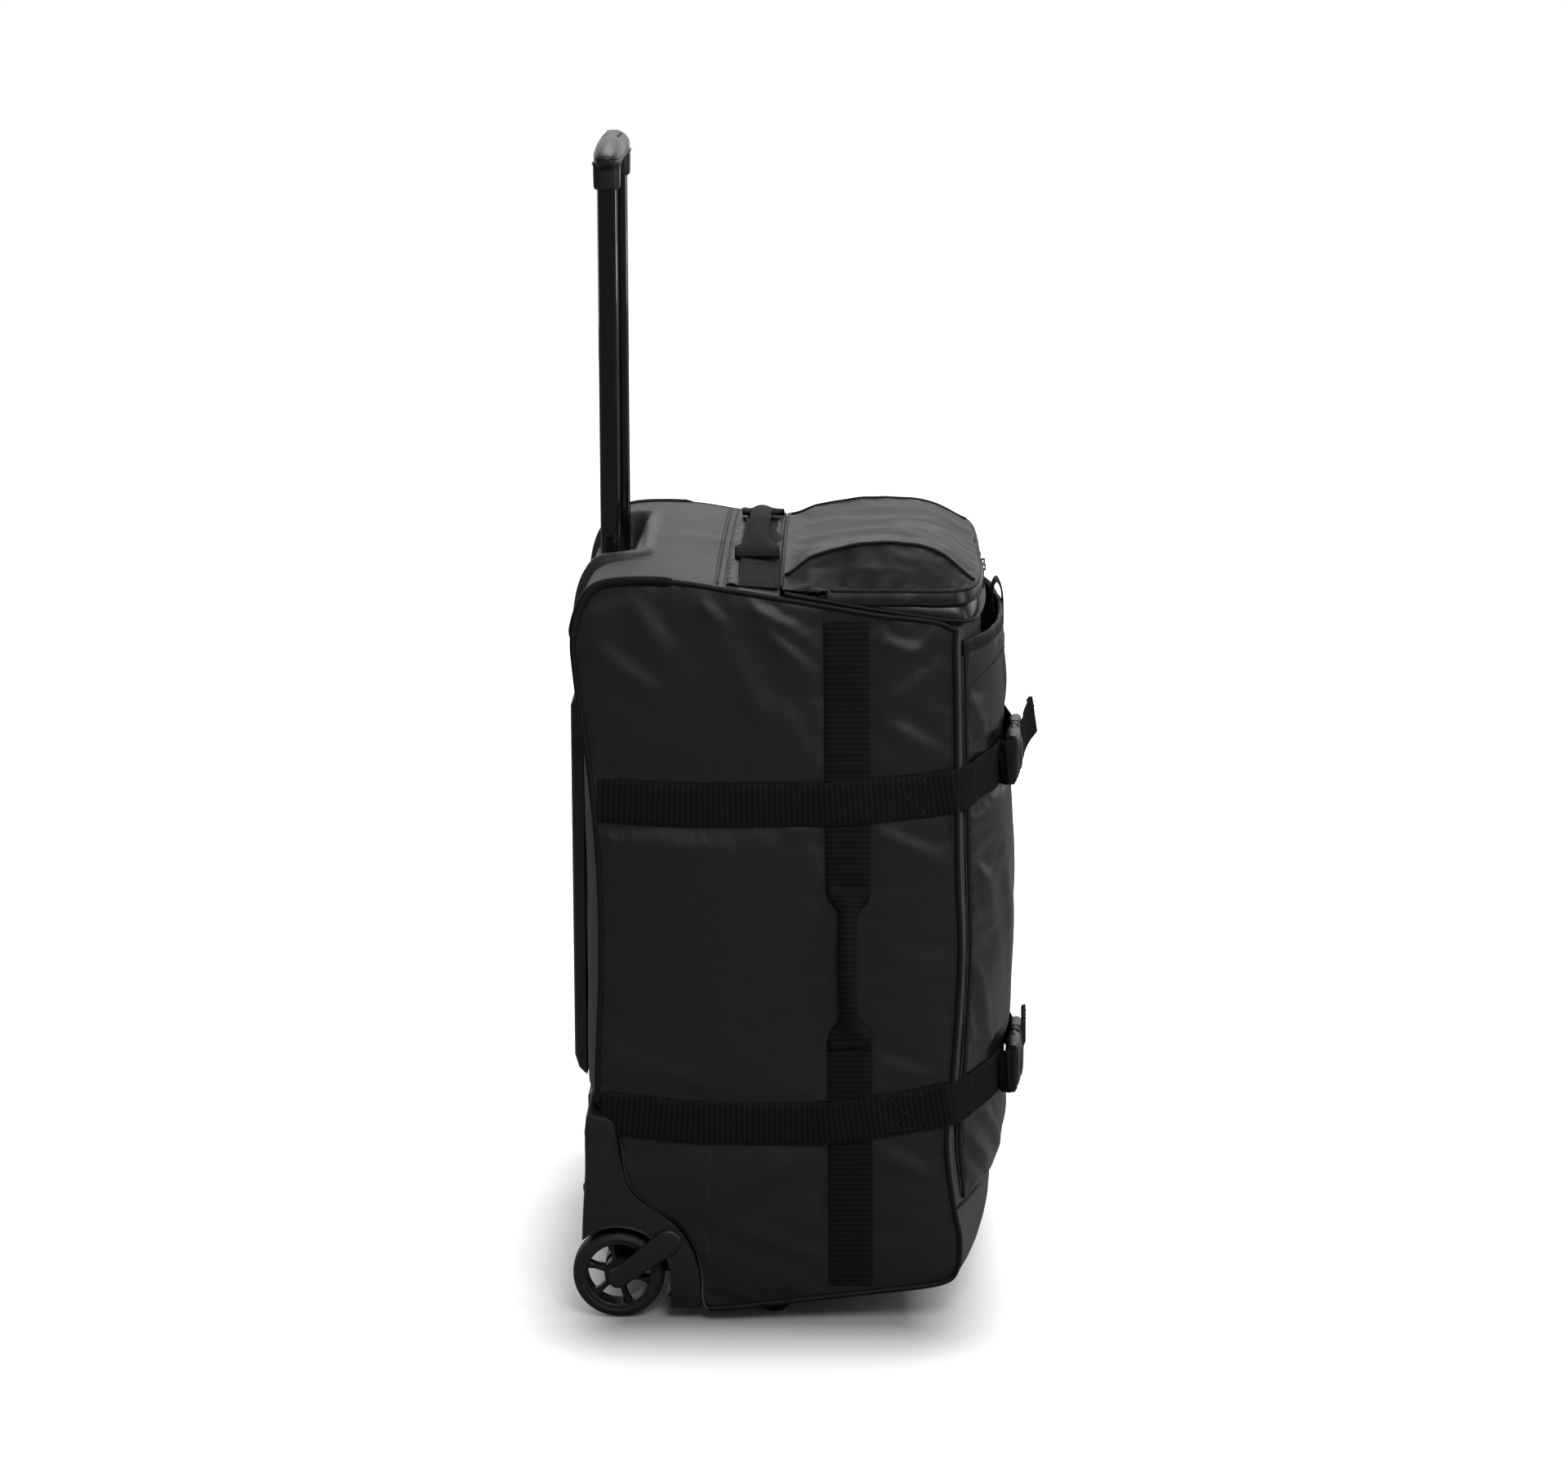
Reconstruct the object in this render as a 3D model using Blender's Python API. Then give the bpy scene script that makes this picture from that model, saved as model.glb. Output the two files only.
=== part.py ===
"""Rolling duffel bag with a telescopic handle, standing upright on its wheels and feet.

Frame: metres, +Z up, +X to the bag's right, the front faces -Y and the trolley is at +Y.
The origin is on the floor under the middle of the bag. All shapes are given in millimetres
through MM and are built at rest: the lid closed, the buckles locked, the handle pulled out.
"""

import math

import bmesh
import bpy
from mathutils import Matrix, Vector

MM = 0.001
GAP = 0.4  # the space kept between two pieces that touch

# The bag's body
HALF_WIDTH = 188  # the side seams
SIDE_BULGE = 7
FABRIC = 3  # the padded wall, fabric and foam together
# The side seam, from the back's lower end up, over the top, down the front and under, as (y, z)
SIDE_OUTLINE = [
    (173, 208), (169, 320), (170, 411), (177, 495), (187, 570), (189, 612), (178, 643),
    (158, 655), (108, 656), (60, 649), (16.5, 642), (-61, 629), (-124, 619), (-130, 590),
    (-134, 413), (-137, 330), (-132, 230), (-127, 165), (-134, 106), (-139, 80), (-137, 50),
    (-121, 37), (-64, 29), (7, 20), (70, 13), (81, 24), (82, 40), (88, 66), (104, 91),
    (127, 106), (146, 127), (152, 158), (157, 190), (164, 200),
]
# The same points where the bag is widest from front to back, in the middle
MIDDLE_OUTLINE = [
    (184, 208), (184.5, 320), (184.5, 411), (184.5, 495), (185, 570), (186, 612), (178, 643),
    (160, 657), (108, 661), (60, 656), (16.5, 660), (-61, 640), (-152, 619), (-154, 590),
    (-160, 413), (-162, 330), (-160, 230), (-160, 165), (-166, 106), (-168, 80), (-157, 46),
    (-133, 33), (-64, 27), (7, 20), (70, 14), (81, 24), (82, 40), (88, 66), (104, 91),
    (127, 106), (146, 127), (152, 158), (160, 190), (172, 200),
]
STEPS_PER_POINT = 1
CROWN = 2.6
BACK_CROWN = 6
BACK_POINTS = 7  # the outline's first points are on the flat back
COLUMNS = 12

# The lid and its zip
HINGE_Y = 16
HINGE_Z = 662
LID_BACK_Y = 14.8
RIM_Z = 646
LID_HALF_WIDTH = 184
LID_FRONT_Y = -153
LID_CORNER_Y = -76
LID_ROUND = 3.2
LID_WALL = 3
LID_CREST = [(0, 16), (0.2, 27), (0.42, 34), (0.65, 31), (0.82, 20), (0.93, 8), (1, 0)]
LID_FLAT = 140  # where the side gussets start
ZIP_INSET = 5
ZIP_WALL = 2
PULLER_LOW = 606

# The front pocket
POCKET_HALF_WIDTH = 177
POCKET_TOP = 603
POCKET_BOTTOM = 112
POCKET_WALL = 1.6
POCKET_SIDE = [(110, -136), (165, -128), (230, -133), (330, -138), (413, -135), (603, -131)]
POCKET_MIDDLE = [(110, -176), (165, -181), (230, -183), (330, -184), (413, -182), (603, -170)]

# Webbing
WEBBING = 38
WEBBING_THICK = 1.8
SIDE_WEBBING_Y = -40
TOP_WEBBING_Y = 34.5
UPPER_STRAP = [(170, 468), (90, 465), (-21, 467), (-109, 474), (-150, 482)]
LOWER_STRAP = [(170, 191), (90, 184), (-21, 184), (-109, 197), (-150, 204)]
BUCKLES = {"upper": 484, "lower": 205}

# The trolley
TUBE_X = 70
TUBE_Y = 164.5
INNER_TUBE = (20, 16)
OUTER_TUBE = (25, 21)
TUBE_WALL = 1.3
SOCKET_Z = (970, 993)
INNER_END_Z = 575
OUTER_TUBE_Z = (218, 629)
GRIP_TOP = 1012

# The wheels
WHEEL_Y = 157
WHEEL_R = 40
WINDOW_REACH = 50  # the opening behind the wheel, below and behind its axle
BOSS_R = 13
WHEEL_X = 171.5
TYRE_WIDTH = 25
WELL_R = 46
HOUSING_X = (128, 188)
AXLE_R = 4
ROUND = 24

RAIL_X = 115
RAIL_BACK = 197
FOOT_X = 152
FOOT_Y = 21


def clear_scene():
    for item in list(bpy.data.objects):
        bpy.data.objects.remove(item, do_unlink=True)


def material(name, colour, roughness, metallic=0.0):
    """One Principled finish; a second piece of the same finish uses it again."""
    found = bpy.data.materials.get(name)
    if found:
        return found
    made = bpy.data.materials.new(name)
    made.use_nodes = True
    shader = made.node_tree.nodes["Principled BSDF"]
    shader.inputs["Base Color"].default_value = (*colour, 1)
    shader.inputs["Roughness"].default_value = roughness
    shader.inputs["Metallic"].default_value = metallic
    return made


def fabric():
    return material("coated_fabric", (0.035, 0.036, 0.037), 0.5)


def webbing_finish():
    return material("webbing", (0.012, 0.012, 0.013), 0.8)


def plastic():
    return material("matte_plastic", (0.02, 0.02, 0.021), 0.45)


def tube_finish():
    return material("black_anodised", (0.01, 0.01, 0.011), 0.22, 0.7)


def steel():
    return material("steel", (0.5, 0.5, 0.52), 0.3, 1.0)


def rubber():
    return material("rubber", (0.012, 0.012, 0.012), 0.7)


def make_object(name, mesh_data, finish, smooth=False, origin=None):
    """Wraps a bmesh built in millimetres as a named object in metres, its origin where given."""
    centre = Vector(origin) if origin else Vector((0, 0, 0))
    bmesh.ops.translate(mesh_data, verts=mesh_data.verts, vec=-centre)
    bmesh.ops.scale(mesh_data, verts=mesh_data.verts, vec=(MM, MM, MM))
    mesh = bpy.data.meshes.new(name)
    mesh_data.to_mesh(mesh)
    mesh_data.free()
    mesh.materials.append(finish)
    if smooth:
        mesh.shade_smooth()
        mesh.set_sharp_from_angle(angle=math.radians(40))
    made = bpy.data.objects.new(name, mesh)
    made.location = centre * MM
    bpy.context.scene.collection.objects.link(made)
    return made


def spread(points, steps):
    """Points along the smooth closed curve through a ring of points."""
    count = len(points)
    made = []
    for i in range(count):
        ring = [Vector(points[(i + k) % count]) for k in (-1, 0, 1, 2)]
        for step in range(steps):
            made.append(along(ring, step / steps))
    return made


def along(four, t):
    """A Catmull-Rom curve between the second and the third of four points."""
    before, start, end, after = four
    return 0.5 * (
        2 * start
        + (end - before) * t
        + (2 * before - 5 * start + 4 * end - after) * t * t
        + (3 * start - before - 3 * end + after) * t**3
    )


def interpolate(table, at):
    """The value at a place in a table of (place, value) pairs, in rising order."""
    if at <= table[0][0]:
        return table[0][1]
    for (low, first), (high, second) in zip(table, table[1:]):
        if at <= high:
            return first + (second - first) * (at - low) / (high - low)
    return table[-1][1]


def crown(x, power=CROWN):
    """1 in the middle of the bag's width and 0 at its side seams."""
    return max(0.0, 1 - abs(x / HALF_WIDTH) ** power)


def side_bulge(y, z):
    """How far the side panel stands out past its seam."""
    reach = ((abs(y - 15) / 150) ** 4 + (abs(z - 330) / 300) ** 4) ** 0.25
    return SIDE_BULGE * max(0.0, 1 - reach**2)


def loft(rings):
    """A skin over closed rings of equal length, capped at its ends."""
    made = bmesh.new()
    rows = [[made.verts.new(point) for point in ring] for ring in rings]
    count = len(rows[0])
    for row, following in zip(rows, rows[1:]):
        for i in range(count):
            j = (i + 1) % count
            made.faces.new((row[i], row[j], following[j], following[i]))
    made.faces.new(list(reversed(rows[0])))
    made.faces.new(rows[-1])
    bmesh.ops.recalc_face_normals(made, faces=made.faces)
    return made


def ribbon(points, across, thick, outward):
    """A flat strip through points; across and outward give its width and thickness ways."""
    rings = []
    for point, wide, out in zip(points, across, outward):
        centre = Vector(point)
        half = Vector(wide) / 2
        up = Vector(out).normalized() * thick / 2
        rings.append([centre - half - up, centre + half - up, centre + half + up, centre - half + up])
    return loft(rings)


def box_mesh(low, high, bevel=0.0, segments=1):
    made = bmesh.new()
    bmesh.ops.create_cube(made, size=1)
    size = [b - a for a, b in zip(low, high)]
    middle = [(a + b) / 2 for a, b in zip(low, high)]
    bmesh.ops.scale(made, verts=made.verts, vec=size)
    bmesh.ops.translate(made, verts=made.verts, vec=middle)
    if bevel:
        bmesh.ops.bevel(
            made, geom=made.edges[:], offset=bevel, segments=segments, affect="EDGES", profile=0.5
        )
    return made


def rounded_section(size_x, size_y, radius, corner_steps=3):
    """A rounded rectangle round the origin, as (x, y), anticlockwise."""
    points = []
    for cx, cy, start in ((1, 1, 0), (-1, 1, 90), (-1, -1, 180), (1, -1, 270)):
        for step in range(corner_steps + 1):
            angle = math.radians(start + 90 * step / corner_steps)
            points.append((
                cx * (size_x / 2 - radius) + radius * math.cos(angle),
                cy * (size_y / 2 - radius) + radius * math.sin(angle),
            ))
    return points


def circle(radius, count=ROUND, turn=0.0):
    return [
        (radius * math.cos(2 * math.pi * (i + turn) / count),
         radius * math.sin(2 * math.pi * (i + turn) / count))
        for i in range(count)
    ]


def pipe_mesh(outer, inner, place, levels):
    """A pipe between two matching sections; place puts a section's point at a level."""
    rings = [[place(p, levels[0]) for p in inner], [place(p, levels[0]) for p in outer]]
    rings += [[place(p, levels[1]) for p in outer], [place(p, levels[1]) for p in inner]]
    made = bmesh.new()
    rows = [[made.verts.new(point) for point in ring] for ring in rings]
    for k in range(4):
        row, following = rows[k], rows[(k + 1) % 4]
        for i in range(len(row)):
            j = (i + 1) % len(row)
            made.faces.new((row[i], row[j], following[j], following[i]))
    bmesh.ops.recalc_face_normals(made, faces=made.faces)
    return made


def upright(x, y):
    """Places a section's point at a height, round a vertical axis."""
    return lambda point, level: (x + point[0], y + point[1], level)


def crosswise(y, z, side=1):
    """Places a section's point at a distance out along X, round an axis across the bag."""
    return lambda point, level: (side * level, y + point[0], z + point[1])


def cut(target, cutter_mesh, operation="DIFFERENCE"):
    """Takes a shape out of an object, or joins it on."""
    tool = make_object(target.name + "_tool", cutter_mesh, fabric())
    tool.hide_render = True
    tool.display_type = "WIRE"
    change = target.modifiers.new("shape", "BOOLEAN")
    change.object = tool
    change.operation = operation
    change.solver = "EXACT"


def body_point(x, index, side, middle):
    """A point of the bag's skin in the section at x."""
    on_back = index < BACK_POINTS * STEPS_PER_POINT
    share = crown(x, power=BACK_CROWN if on_back else CROWN)
    y, z = side[index].lerp(middle[index], share)
    return Vector((x, y, z))


def is_mouth(index, x):
    """Whether this part of the skin is the opening under the lid."""
    first = 10 * STEPS_PER_POINT
    last = 12 * STEPS_PER_POINT
    return first <= index < last and abs(x) < HALF_WIDTH - 12


def bag_shell():
    """The padded body: back, sides, front and bottom as one thin wall, open under the lid."""
    side = spread(SIDE_OUTLINE, STEPS_PER_POINT)
    middle = spread(MIDDLE_OUTLINE, STEPS_PER_POINT)
    inner = HALF_WIDTH - 9
    places = [-HALF_WIDTH, -inner]
    places += [-inner + 2 * inner * k / COLUMNS for k in range(1, COLUMNS)]
    places += [inner, HALF_WIDTH]
    made = bmesh.new()
    rows = [
        [made.verts.new(body_point(x, i, side, middle)) for i in range(len(side))] for x in places
    ]
    for left, right, x_left, x_right in zip(rows, rows[1:], places, places[1:]):
        for i in range(len(side)):
            j = (i + 1) % len(side)
            if not is_mouth(i, (x_left + x_right) / 2):
                made.faces.new((left[i], left[j], right[j], right[i]))
    for row, sign in ((rows[0], -1), (rows[-1], 1)):
        side_panel(made, row, sign)
    bmesh.ops.recalc_face_normals(made, faces=made.faces)
    shell = make_object("bag_shell", made, fabric(), smooth=True)
    wall = shell.modifiers.new("wall", "SOLIDIFY")
    wall.thickness = FABRIC * MM
    wall.offset = -1
    wall.use_even_offset = False
    cut(shell, box_mesh((-98, 124.4, 617), (98, 230, 700)))


def side_panel(made, outer, sign):
    """Fills a side of the bag with rings that shrink towards its middle, bulging outward."""
    centre = Vector((0, 15, 330))
    rows = [outer]
    for share in (0.86, 0.62, 0.32):
        ring = []
        for vertex in outer:
            y = centre.y + share * (vertex.co.y - centre.y)
            z = centre.z + share * (vertex.co.z - centre.z)
            x = sign * (HALF_WIDTH + side_bulge(y, z))
            ring.append(made.verts.new((x, y, z)))
        rows.append(ring)
    for row, following in zip(rows, rows[1:]):
        for i in range(len(row)):
            j = (i + 1) % len(row)
            made.faces.new((row[i], row[j], following[j], following[i]))
    hub = made.verts.new((sign * (HALF_WIDTH + side_bulge(centre.y, centre.z)), centre.y, centre.z))
    last = rows[-1]
    for i in range(len(last)):
        made.faces.new((last[i], last[(i + 1) % len(last)], hub))


def pocket_y(x, z):
    """The outer face of the front pocket."""
    side = interpolate(POCKET_SIDE, z)
    middle = interpolate(POCKET_MIDDLE, z)
    return side + (middle - side) * crown(x)


def front_sheet(name, low, high, out, thick, rows, columns, finish):
    """A sheet over the front of the bag, its outer face standing out from the pocket's."""
    made = bmesh.new()
    grid = []
    for r in range(rows + 1):
        z = low + (high - low) * r / rows
        line = []
        for c in range(columns + 1):
            x = -POCKET_HALF_WIDTH + 2 * POCKET_HALF_WIDTH * c / columns
            line.append(made.verts.new((x, pocket_y(x, z) - out, z)))
        grid.append(line)
    for row, following in zip(grid, grid[1:]):
        for c in range(columns):
            made.faces.new((row[c], row[c + 1], following[c + 1], following[c]))
    bmesh.ops.recalc_face_normals(made, faces=made.faces)
    for face in made.faces:
        face.normal_update()
    if sum(face.normal.y for face in made.faces) > 0:
        bmesh.ops.reverse_faces(made, faces=made.faces)
    sheet = make_object(name, made, finish, smooth=True)
    wall = sheet.modifiers.new("wall", "SOLIDIFY")
    wall.thickness = thick * MM
    wall.offset = -1


def base_tray():
    """The reinforced bottom, wrapping up the lower front."""
    side = spread(SIDE_OUTLINE, STEPS_PER_POINT)
    middle = spread(MIDDLE_OUTLINE, STEPS_PER_POINT)
    first = 18 * STEPS_PER_POINT
    last = 25 * STEPS_PER_POINT
    columns = 10
    made = bmesh.new()
    rows = []
    for c in range(columns + 1):
        x = -HALF_WIDTH + 4 + 2 * (HALF_WIDTH - 4) * c / columns
        rows.append([made.verts.new(body_point(x, i, side, middle)) for i in range(first, last)])
    for left, right in zip(rows, rows[1:]):
        for i in range(len(left) - 1):
            made.faces.new((left[i], left[i + 1], right[i + 1], right[i]))
    made.normal_update()
    if sum(face.normal.z for face in made.faces) > 0:
        bmesh.ops.reverse_faces(made, faces=made.faces)
    made.normal_update()
    for vertex in made.verts:
        vertex.co += vertex.normal * 1.2
    tray = make_object("base_tray", made, plastic(), smooth=True)
    wall = tray.modifiers.new("wall", "SOLIDIFY")
    wall.thickness = 2 * MM
    wall.offset = 1


def lid_front(x):
    """How far forward the lid reaches at this place across the bag."""
    share = (1 - abs(x / LID_HALF_WIDTH) ** LID_ROUND) ** (1 / LID_ROUND)
    return LID_CORNER_Y + (LID_FRONT_Y - LID_CORNER_Y) * share


def lid_height(x, along_share):
    """The lid's height above its rim: the crest, falling off at the side gussets."""
    past = max(0.0, abs(x) - LID_FLAT) / (LID_HALF_WIDTH - LID_FLAT)
    side = math.sqrt(max(0.0, 1 - past**2))
    return interpolate(LID_CREST, along_share) * side


def lid_panel():
    """The domed lid over the main opening, hinged along its back edge."""
    columns = 14
    rows = 9
    made = bmesh.new()
    grid = []
    for c in range(columns + 1):
        x = -LID_HALF_WIDTH * math.cos(math.pi * c / columns)
        front = lid_front(x)
        line = []
        for r in range(rows + 1):
            share = math.sin(math.pi / 2 * r / rows)
            y = LID_BACK_Y + (front - LID_BACK_Y) * share
            z = RIM_Z + GAP + lid_height(x, share)
            line.append(made.verts.new((x, y, z)))
        grid.append(line)
    for left, right in zip(grid, grid[1:]):
        for r in range(rows):
            made.faces.new((left[r], left[r + 1], right[r + 1], right[r]))
    under = {}
    for line in grid:
        for vertex in line:
            low = max(RIM_Z + GAP - 0.2, vertex.co.z - LID_WALL)
            inset_x = vertex.co.x * (1 - LID_WALL / LID_HALF_WIDTH)
            inset_y = LID_BACK_Y + (vertex.co.y - LID_BACK_Y) * (1 - LID_WALL / 168)
            under[vertex] = made.verts.new((inset_x, inset_y, low - 0.4))
    for left, right in zip(grid, grid[1:]):
        for r in range(rows):
            corners = (left[r], right[r], right[r + 1], left[r + 1])
            made.faces.new([under[corner] for corner in corners])
    border = [line[0] for line in grid] + grid[-1][1:]
    border += [line[-1] for line in reversed(grid[:-1])] + list(reversed(grid[0][1:-1]))
    for i, vertex in enumerate(border):
        following = border[(i + 1) % len(border)]
        made.faces.new((vertex, following, under[following], under[vertex]))
    bmesh.ops.recalc_face_normals(made, faces=made.faces)
    make_object("lid_panel", made, fabric(), smooth=True, origin=(0, HINGE_Y, HINGE_Z))


def top_edge_z(y):
    """The side seam's height along the opening."""
    return interpolate([(-124, 619), (-61, 629), (14, 642)], y)


def zip_band():
    """The fabric band with the zip, standing round three sides of the opening."""
    half = LID_HALF_WIDTH - ZIP_INSET
    scale = half / LID_HALF_WIDTH
    points = [Vector((-half, HINGE_Y - 3)), Vector((-half, -40))]
    steps = 14
    for k in range(steps + 1):
        x = -LID_HALF_WIDTH * math.cos(math.pi * k / steps)
        points.append(Vector((x * scale, lid_front(x) + ZIP_INSET)))
    points += [Vector((half, -40)), Vector((half, HINGE_Y - 3))]
    rings = []
    for i, point in enumerate(points):
        before = points[max(0, i - 1)]
        after = points[min(len(points) - 1, i + 1)]
        run = (after - before).normalized()
        side = Vector((run.y, -run.x)) * ZIP_WALL / 2
        low = max(top_edge_z(point.y), 619) + 2.2
        if point.y < -124:
            low = 621.5
        outer, inner = point + side, point - side
        rings.append([
            (inner.x, inner.y, low), (outer.x, outer.y, low),
            (outer.x, outer.y, RIM_Z - 0.4), (inner.x, inner.y, RIM_Z - 0.4),
        ])
    make_object("zip_band", loft(rings), fabric())


def zip_sliders():
    """Two sliders that meet at the front of the zip, each with a hanging puller."""
    front = LID_FRONT_Y + ZIP_INSET - ZIP_WALL / 2 - GAP
    for name, sign in (("left", -1), ("right", 1)):
        x = sign * 13
        body = box_mesh((x - 8, front - 4, 631), (x + 8, front, 641), 1.2)
        slider = make_object("zip_slider_" + name, body, steel(), origin=(x, front, 636))
        bridge = box_mesh((x - 5, front - 8.9, 635.3), (x + 5, front - 3.6, 636.7))
        cut(slider, bridge, "UNION")
        window = box_mesh((x - 3, front - 7.5, 633), (x + 3, front - 4, 639))
        cut(slider, window)
        hinge = front - 8.2
        tab = box_mesh((x - 2.4, hinge - 1.4, PULLER_LOW), (x + 2.4, hinge + 1.4, 634.1), 0.8)
        made = make_object("zip_puller_" + name, tab, plastic(), origin=(x, hinge, 636))
        ring = box_mesh((x - 2.2, hinge - 2.7, 633.3), (x + 2.2, hinge + 2.7, 638.7))
        cut(made, ring, "UNION")
        cut(made, box_mesh((x - 3, hinge - 1.5, 634.5), (x + 3, hinge + 1.5, 637.5)))


def side_webbing(name, sign):
    """The vertical webbing down the side of the bag."""
    heights = [621, 610] + [560 - 56 * k for k in range(10)] + [40]
    points = []
    for z in heights:
        x = HALF_WIDTH + side_bulge(SIDE_WEBBING_Y, z) + 0.9 + WEBBING_THICK / 2
        points.append((sign * x, SIDE_WEBBING_Y, z))
    count = len(points)
    made = ribbon(points, [(0, WEBBING, 0)] * count, WEBBING_THICK, [(sign, 0, 0)] * count)
    make_object("side_webbing_" + name, made, webbing_finish())


def strap_route(sign, heights, end_x, out):
    """A compression strap's route from the back seam, along the side and over the front."""
    points = []
    outward = []
    for y in (166, 140, 90, 40, 0, -40, -75, -100, -122):
        z = interpolate(list(reversed(heights)), y)
        x = HALF_WIDTH + side_bulge(y, z) + out
        points.append(Vector((sign * x, y, z)))
        outward.append((sign, 0, 0))
    corner_z = interpolate(list(reversed(heights)), -128)
    points.append(Vector((sign * (HALF_WIDTH + 0.5 + out * 0.7), -131, corner_z)))
    outward.append((sign * 1.4, -1, 0))
    for x in [place for place in (180, 165, 140, 110, 80, 50) if place > end_x + 2] + [end_x]:
        z = interpolate(list(reversed(heights)), pocket_y(x, corner_z))
        points.append(Vector((sign * x, pocket_y(x, z) - out - 0.3, z)))
        slope = pocket_y(x + 1, z) - pocket_y(x - 1, z)
        outward.append((sign * slope / 2, -1, 0))
    return points, outward


def strap(name, sign, heights, end_x):
    out = 3.8 + WEBBING_THICK / 2
    points, outward = strap_route(sign, heights, end_x, out)
    made = ribbon(points, [(0, 0, WEBBING)] * len(points), WEBBING_THICK, outward)
    make_object(name, made, webbing_finish())


def side_handle(name, sign):
    """The carrying loop on the side: a folded strap arched over the vertical webbing."""
    out_low = 6.5
    out_high = 24
    low, high = 259, 392
    points = []
    across = []
    steps = 10
    for k in range(steps + 1):
        share = k / steps
        z = high + (low - high) * share
        rise = math.sin(math.pi * share) ** 0.6 if 0 < share < 1 else 0.0
        x = HALF_WIDTH + SIDE_BULGE + out_low + (out_high - out_low) * rise
        points.append((sign * x, SIDE_WEBBING_Y - 1, z))
        across.append((0, WEBBING - 18 * rise, 0))
    count = len(points)
    made = ribbon(points, across, 4, [(sign, 0, 0)] * count)
    middle = (sign * (HALF_WIDTH + SIDE_BULGE), SIDE_WEBBING_Y, (low + high) / 2)
    make_object("side_handle_" + name, made, webbing_finish(), origin=middle)


def top_surface(x, y):
    """The height of the bag's top behind the lid."""
    low = interpolate([(14, 642), (60, 649), (108, 656)], y)
    high = interpolate([(14, 660), (60, 656), (108, 661)], y)
    return low + (high - low) * crown(x)


def top_webbing():
    """The webbing across the top, behind the lid."""
    points = []
    across = []
    outward = []
    for k in range(11):
        x = -180 + 36 * k
        z = top_surface(x, TOP_WEBBING_Y) + 2.4 + WEBBING_THICK / 2
        points.append((x, TOP_WEBBING_Y, z))
        fall = top_surface(x, TOP_WEBBING_Y + 17) - top_surface(x, TOP_WEBBING_Y - 17)
        across.append((0, 34, fall))
        slope = top_surface(x + 1, TOP_WEBBING_Y) - top_surface(x - 1, TOP_WEBBING_Y)
        outward.append((-slope / 2, 0, 1))
    made = ribbon(points, across, WEBBING_THICK, outward)
    make_object("top_webbing", made, webbing_finish())


def top_handle():
    """The grab handle on the top: a folded loop over the top webbing."""
    points = []
    across = []
    steps = 10
    base = top_surface(0, TOP_WEBBING_Y) + 4.5
    for k in range(steps + 1):
        share = k / steps
        rise = math.sin(math.pi * share) ** 0.6 if 0 < share < 1 else 0.0
        ends = top_surface(106, TOP_WEBBING_Y) + 7.5
        z = ends + (base + 19 - ends) * rise
        points.append((-106 + 212 * share, TOP_WEBBING_Y + 3, z))
        across.append((0, 27 - 9 * rise, 0))
    count = len(points)
    made = ribbon(points, across, 4, [(0, 0, 1)] * count)
    make_object("top_handle", made, webbing_finish(), origin=(0, TOP_WEBBING_Y, base))


def buckle_frame(z):
    """Where a buckle lies: its middle and the turn that lays it on the bulging front."""
    x = -62
    tilt = math.radians(-4.5)
    y = pocket_y(x, z) - 9.9
    return Matrix.Translation((x, y, z)) @ Matrix.Rotation(tilt, 4, "Z")


def placed(made, frame):
    bmesh.ops.transform(made, matrix=frame, verts=made.verts)
    return made


def buckle(name, z):
    """A side-release buckle: the socket is fixed and the clip's prongs slide out of it."""
    frame = buckle_frame(z)
    origin = tuple(frame.translation)
    body = placed(box_mesh((-42, -6, -22), (10, 6, 22), 3, 2), frame)
    socket = make_object("buckle_socket_" + name, body, plastic(), origin=origin)
    cut(socket, placed(box_mesh((-28, -4, -18), (14, 4, 18)), frame))
    for sign in (-1, 1):
        window = box_mesh((-16, -3.2, sign * 19.8 - 4), (0, 3.2, sign * 19.8 + 4))
        cut(socket, placed(window, frame))
    cut(socket, placed(box_mesh((-37.5, -8, -19.5), (-33, 8, 19.5)), frame))

    clip_body = placed(box_mesh((10.6, -4.6, -21), (42, 4.6, 21), 2, 2), frame)
    clip = make_object("buckle_clip_" + name, clip_body, plastic(), origin=origin)
    for low, high in ((-17.4, -12), (-2.6, 2.6), (12, 17.4)):
        prong = placed(box_mesh((-20, -2.6, low), (12, 2.6, high)), frame)
        cut(clip, prong, "UNION")
    for start in (20, 31):
        cut(clip, placed(box_mesh((start, -8, -18), (start + 5, 8, 18)), frame))


def outer_tube(name, sign):
    outer = rounded_section(*OUTER_TUBE, 7)
    inner = rounded_section(INNER_TUBE[0] + 1.2, INNER_TUBE[1] + 1.2, 5.5)
    made = pipe_mesh(outer, inner, upright(sign * TUBE_X, TUBE_Y), OUTER_TUBE_Z)
    tube = make_object("outer_tube_" + name, made, tube_finish(), smooth=True)
    x = sign * TUBE_X
    groove_low, groove_high = OUTER_TUBE_Z[0] + 6, INNER_END_Z + 14
    groove = box_mesh((x - 2.6, TUBE_Y - 10, groove_low), (x + 2.6, TUBE_Y - 7, groove_high))
    cut(tube, groove)


def inner_tube(name, sign):
    outer = rounded_section(*INNER_TUBE, 5)
    inner = rounded_section(INNER_TUBE[0] - 2 * TUBE_WALL, INNER_TUBE[1] - 2 * TUBE_WALL, 3.8)
    levels = (INNER_END_Z, SOCKET_Z[1] - 1)
    made = pipe_mesh(outer, inner, upright(sign * TUBE_X, TUBE_Y), levels)
    tube = make_object("inner_tube_" + name, made, tube_finish(), smooth=True)
    x = sign * TUBE_X
    hole = box_mesh((x - 2.2, TUBE_Y - 10, INNER_END_Z + 4), (x + 2.2, TUBE_Y - 5, INNER_END_Z + 9))
    cut(tube, hole)


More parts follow.
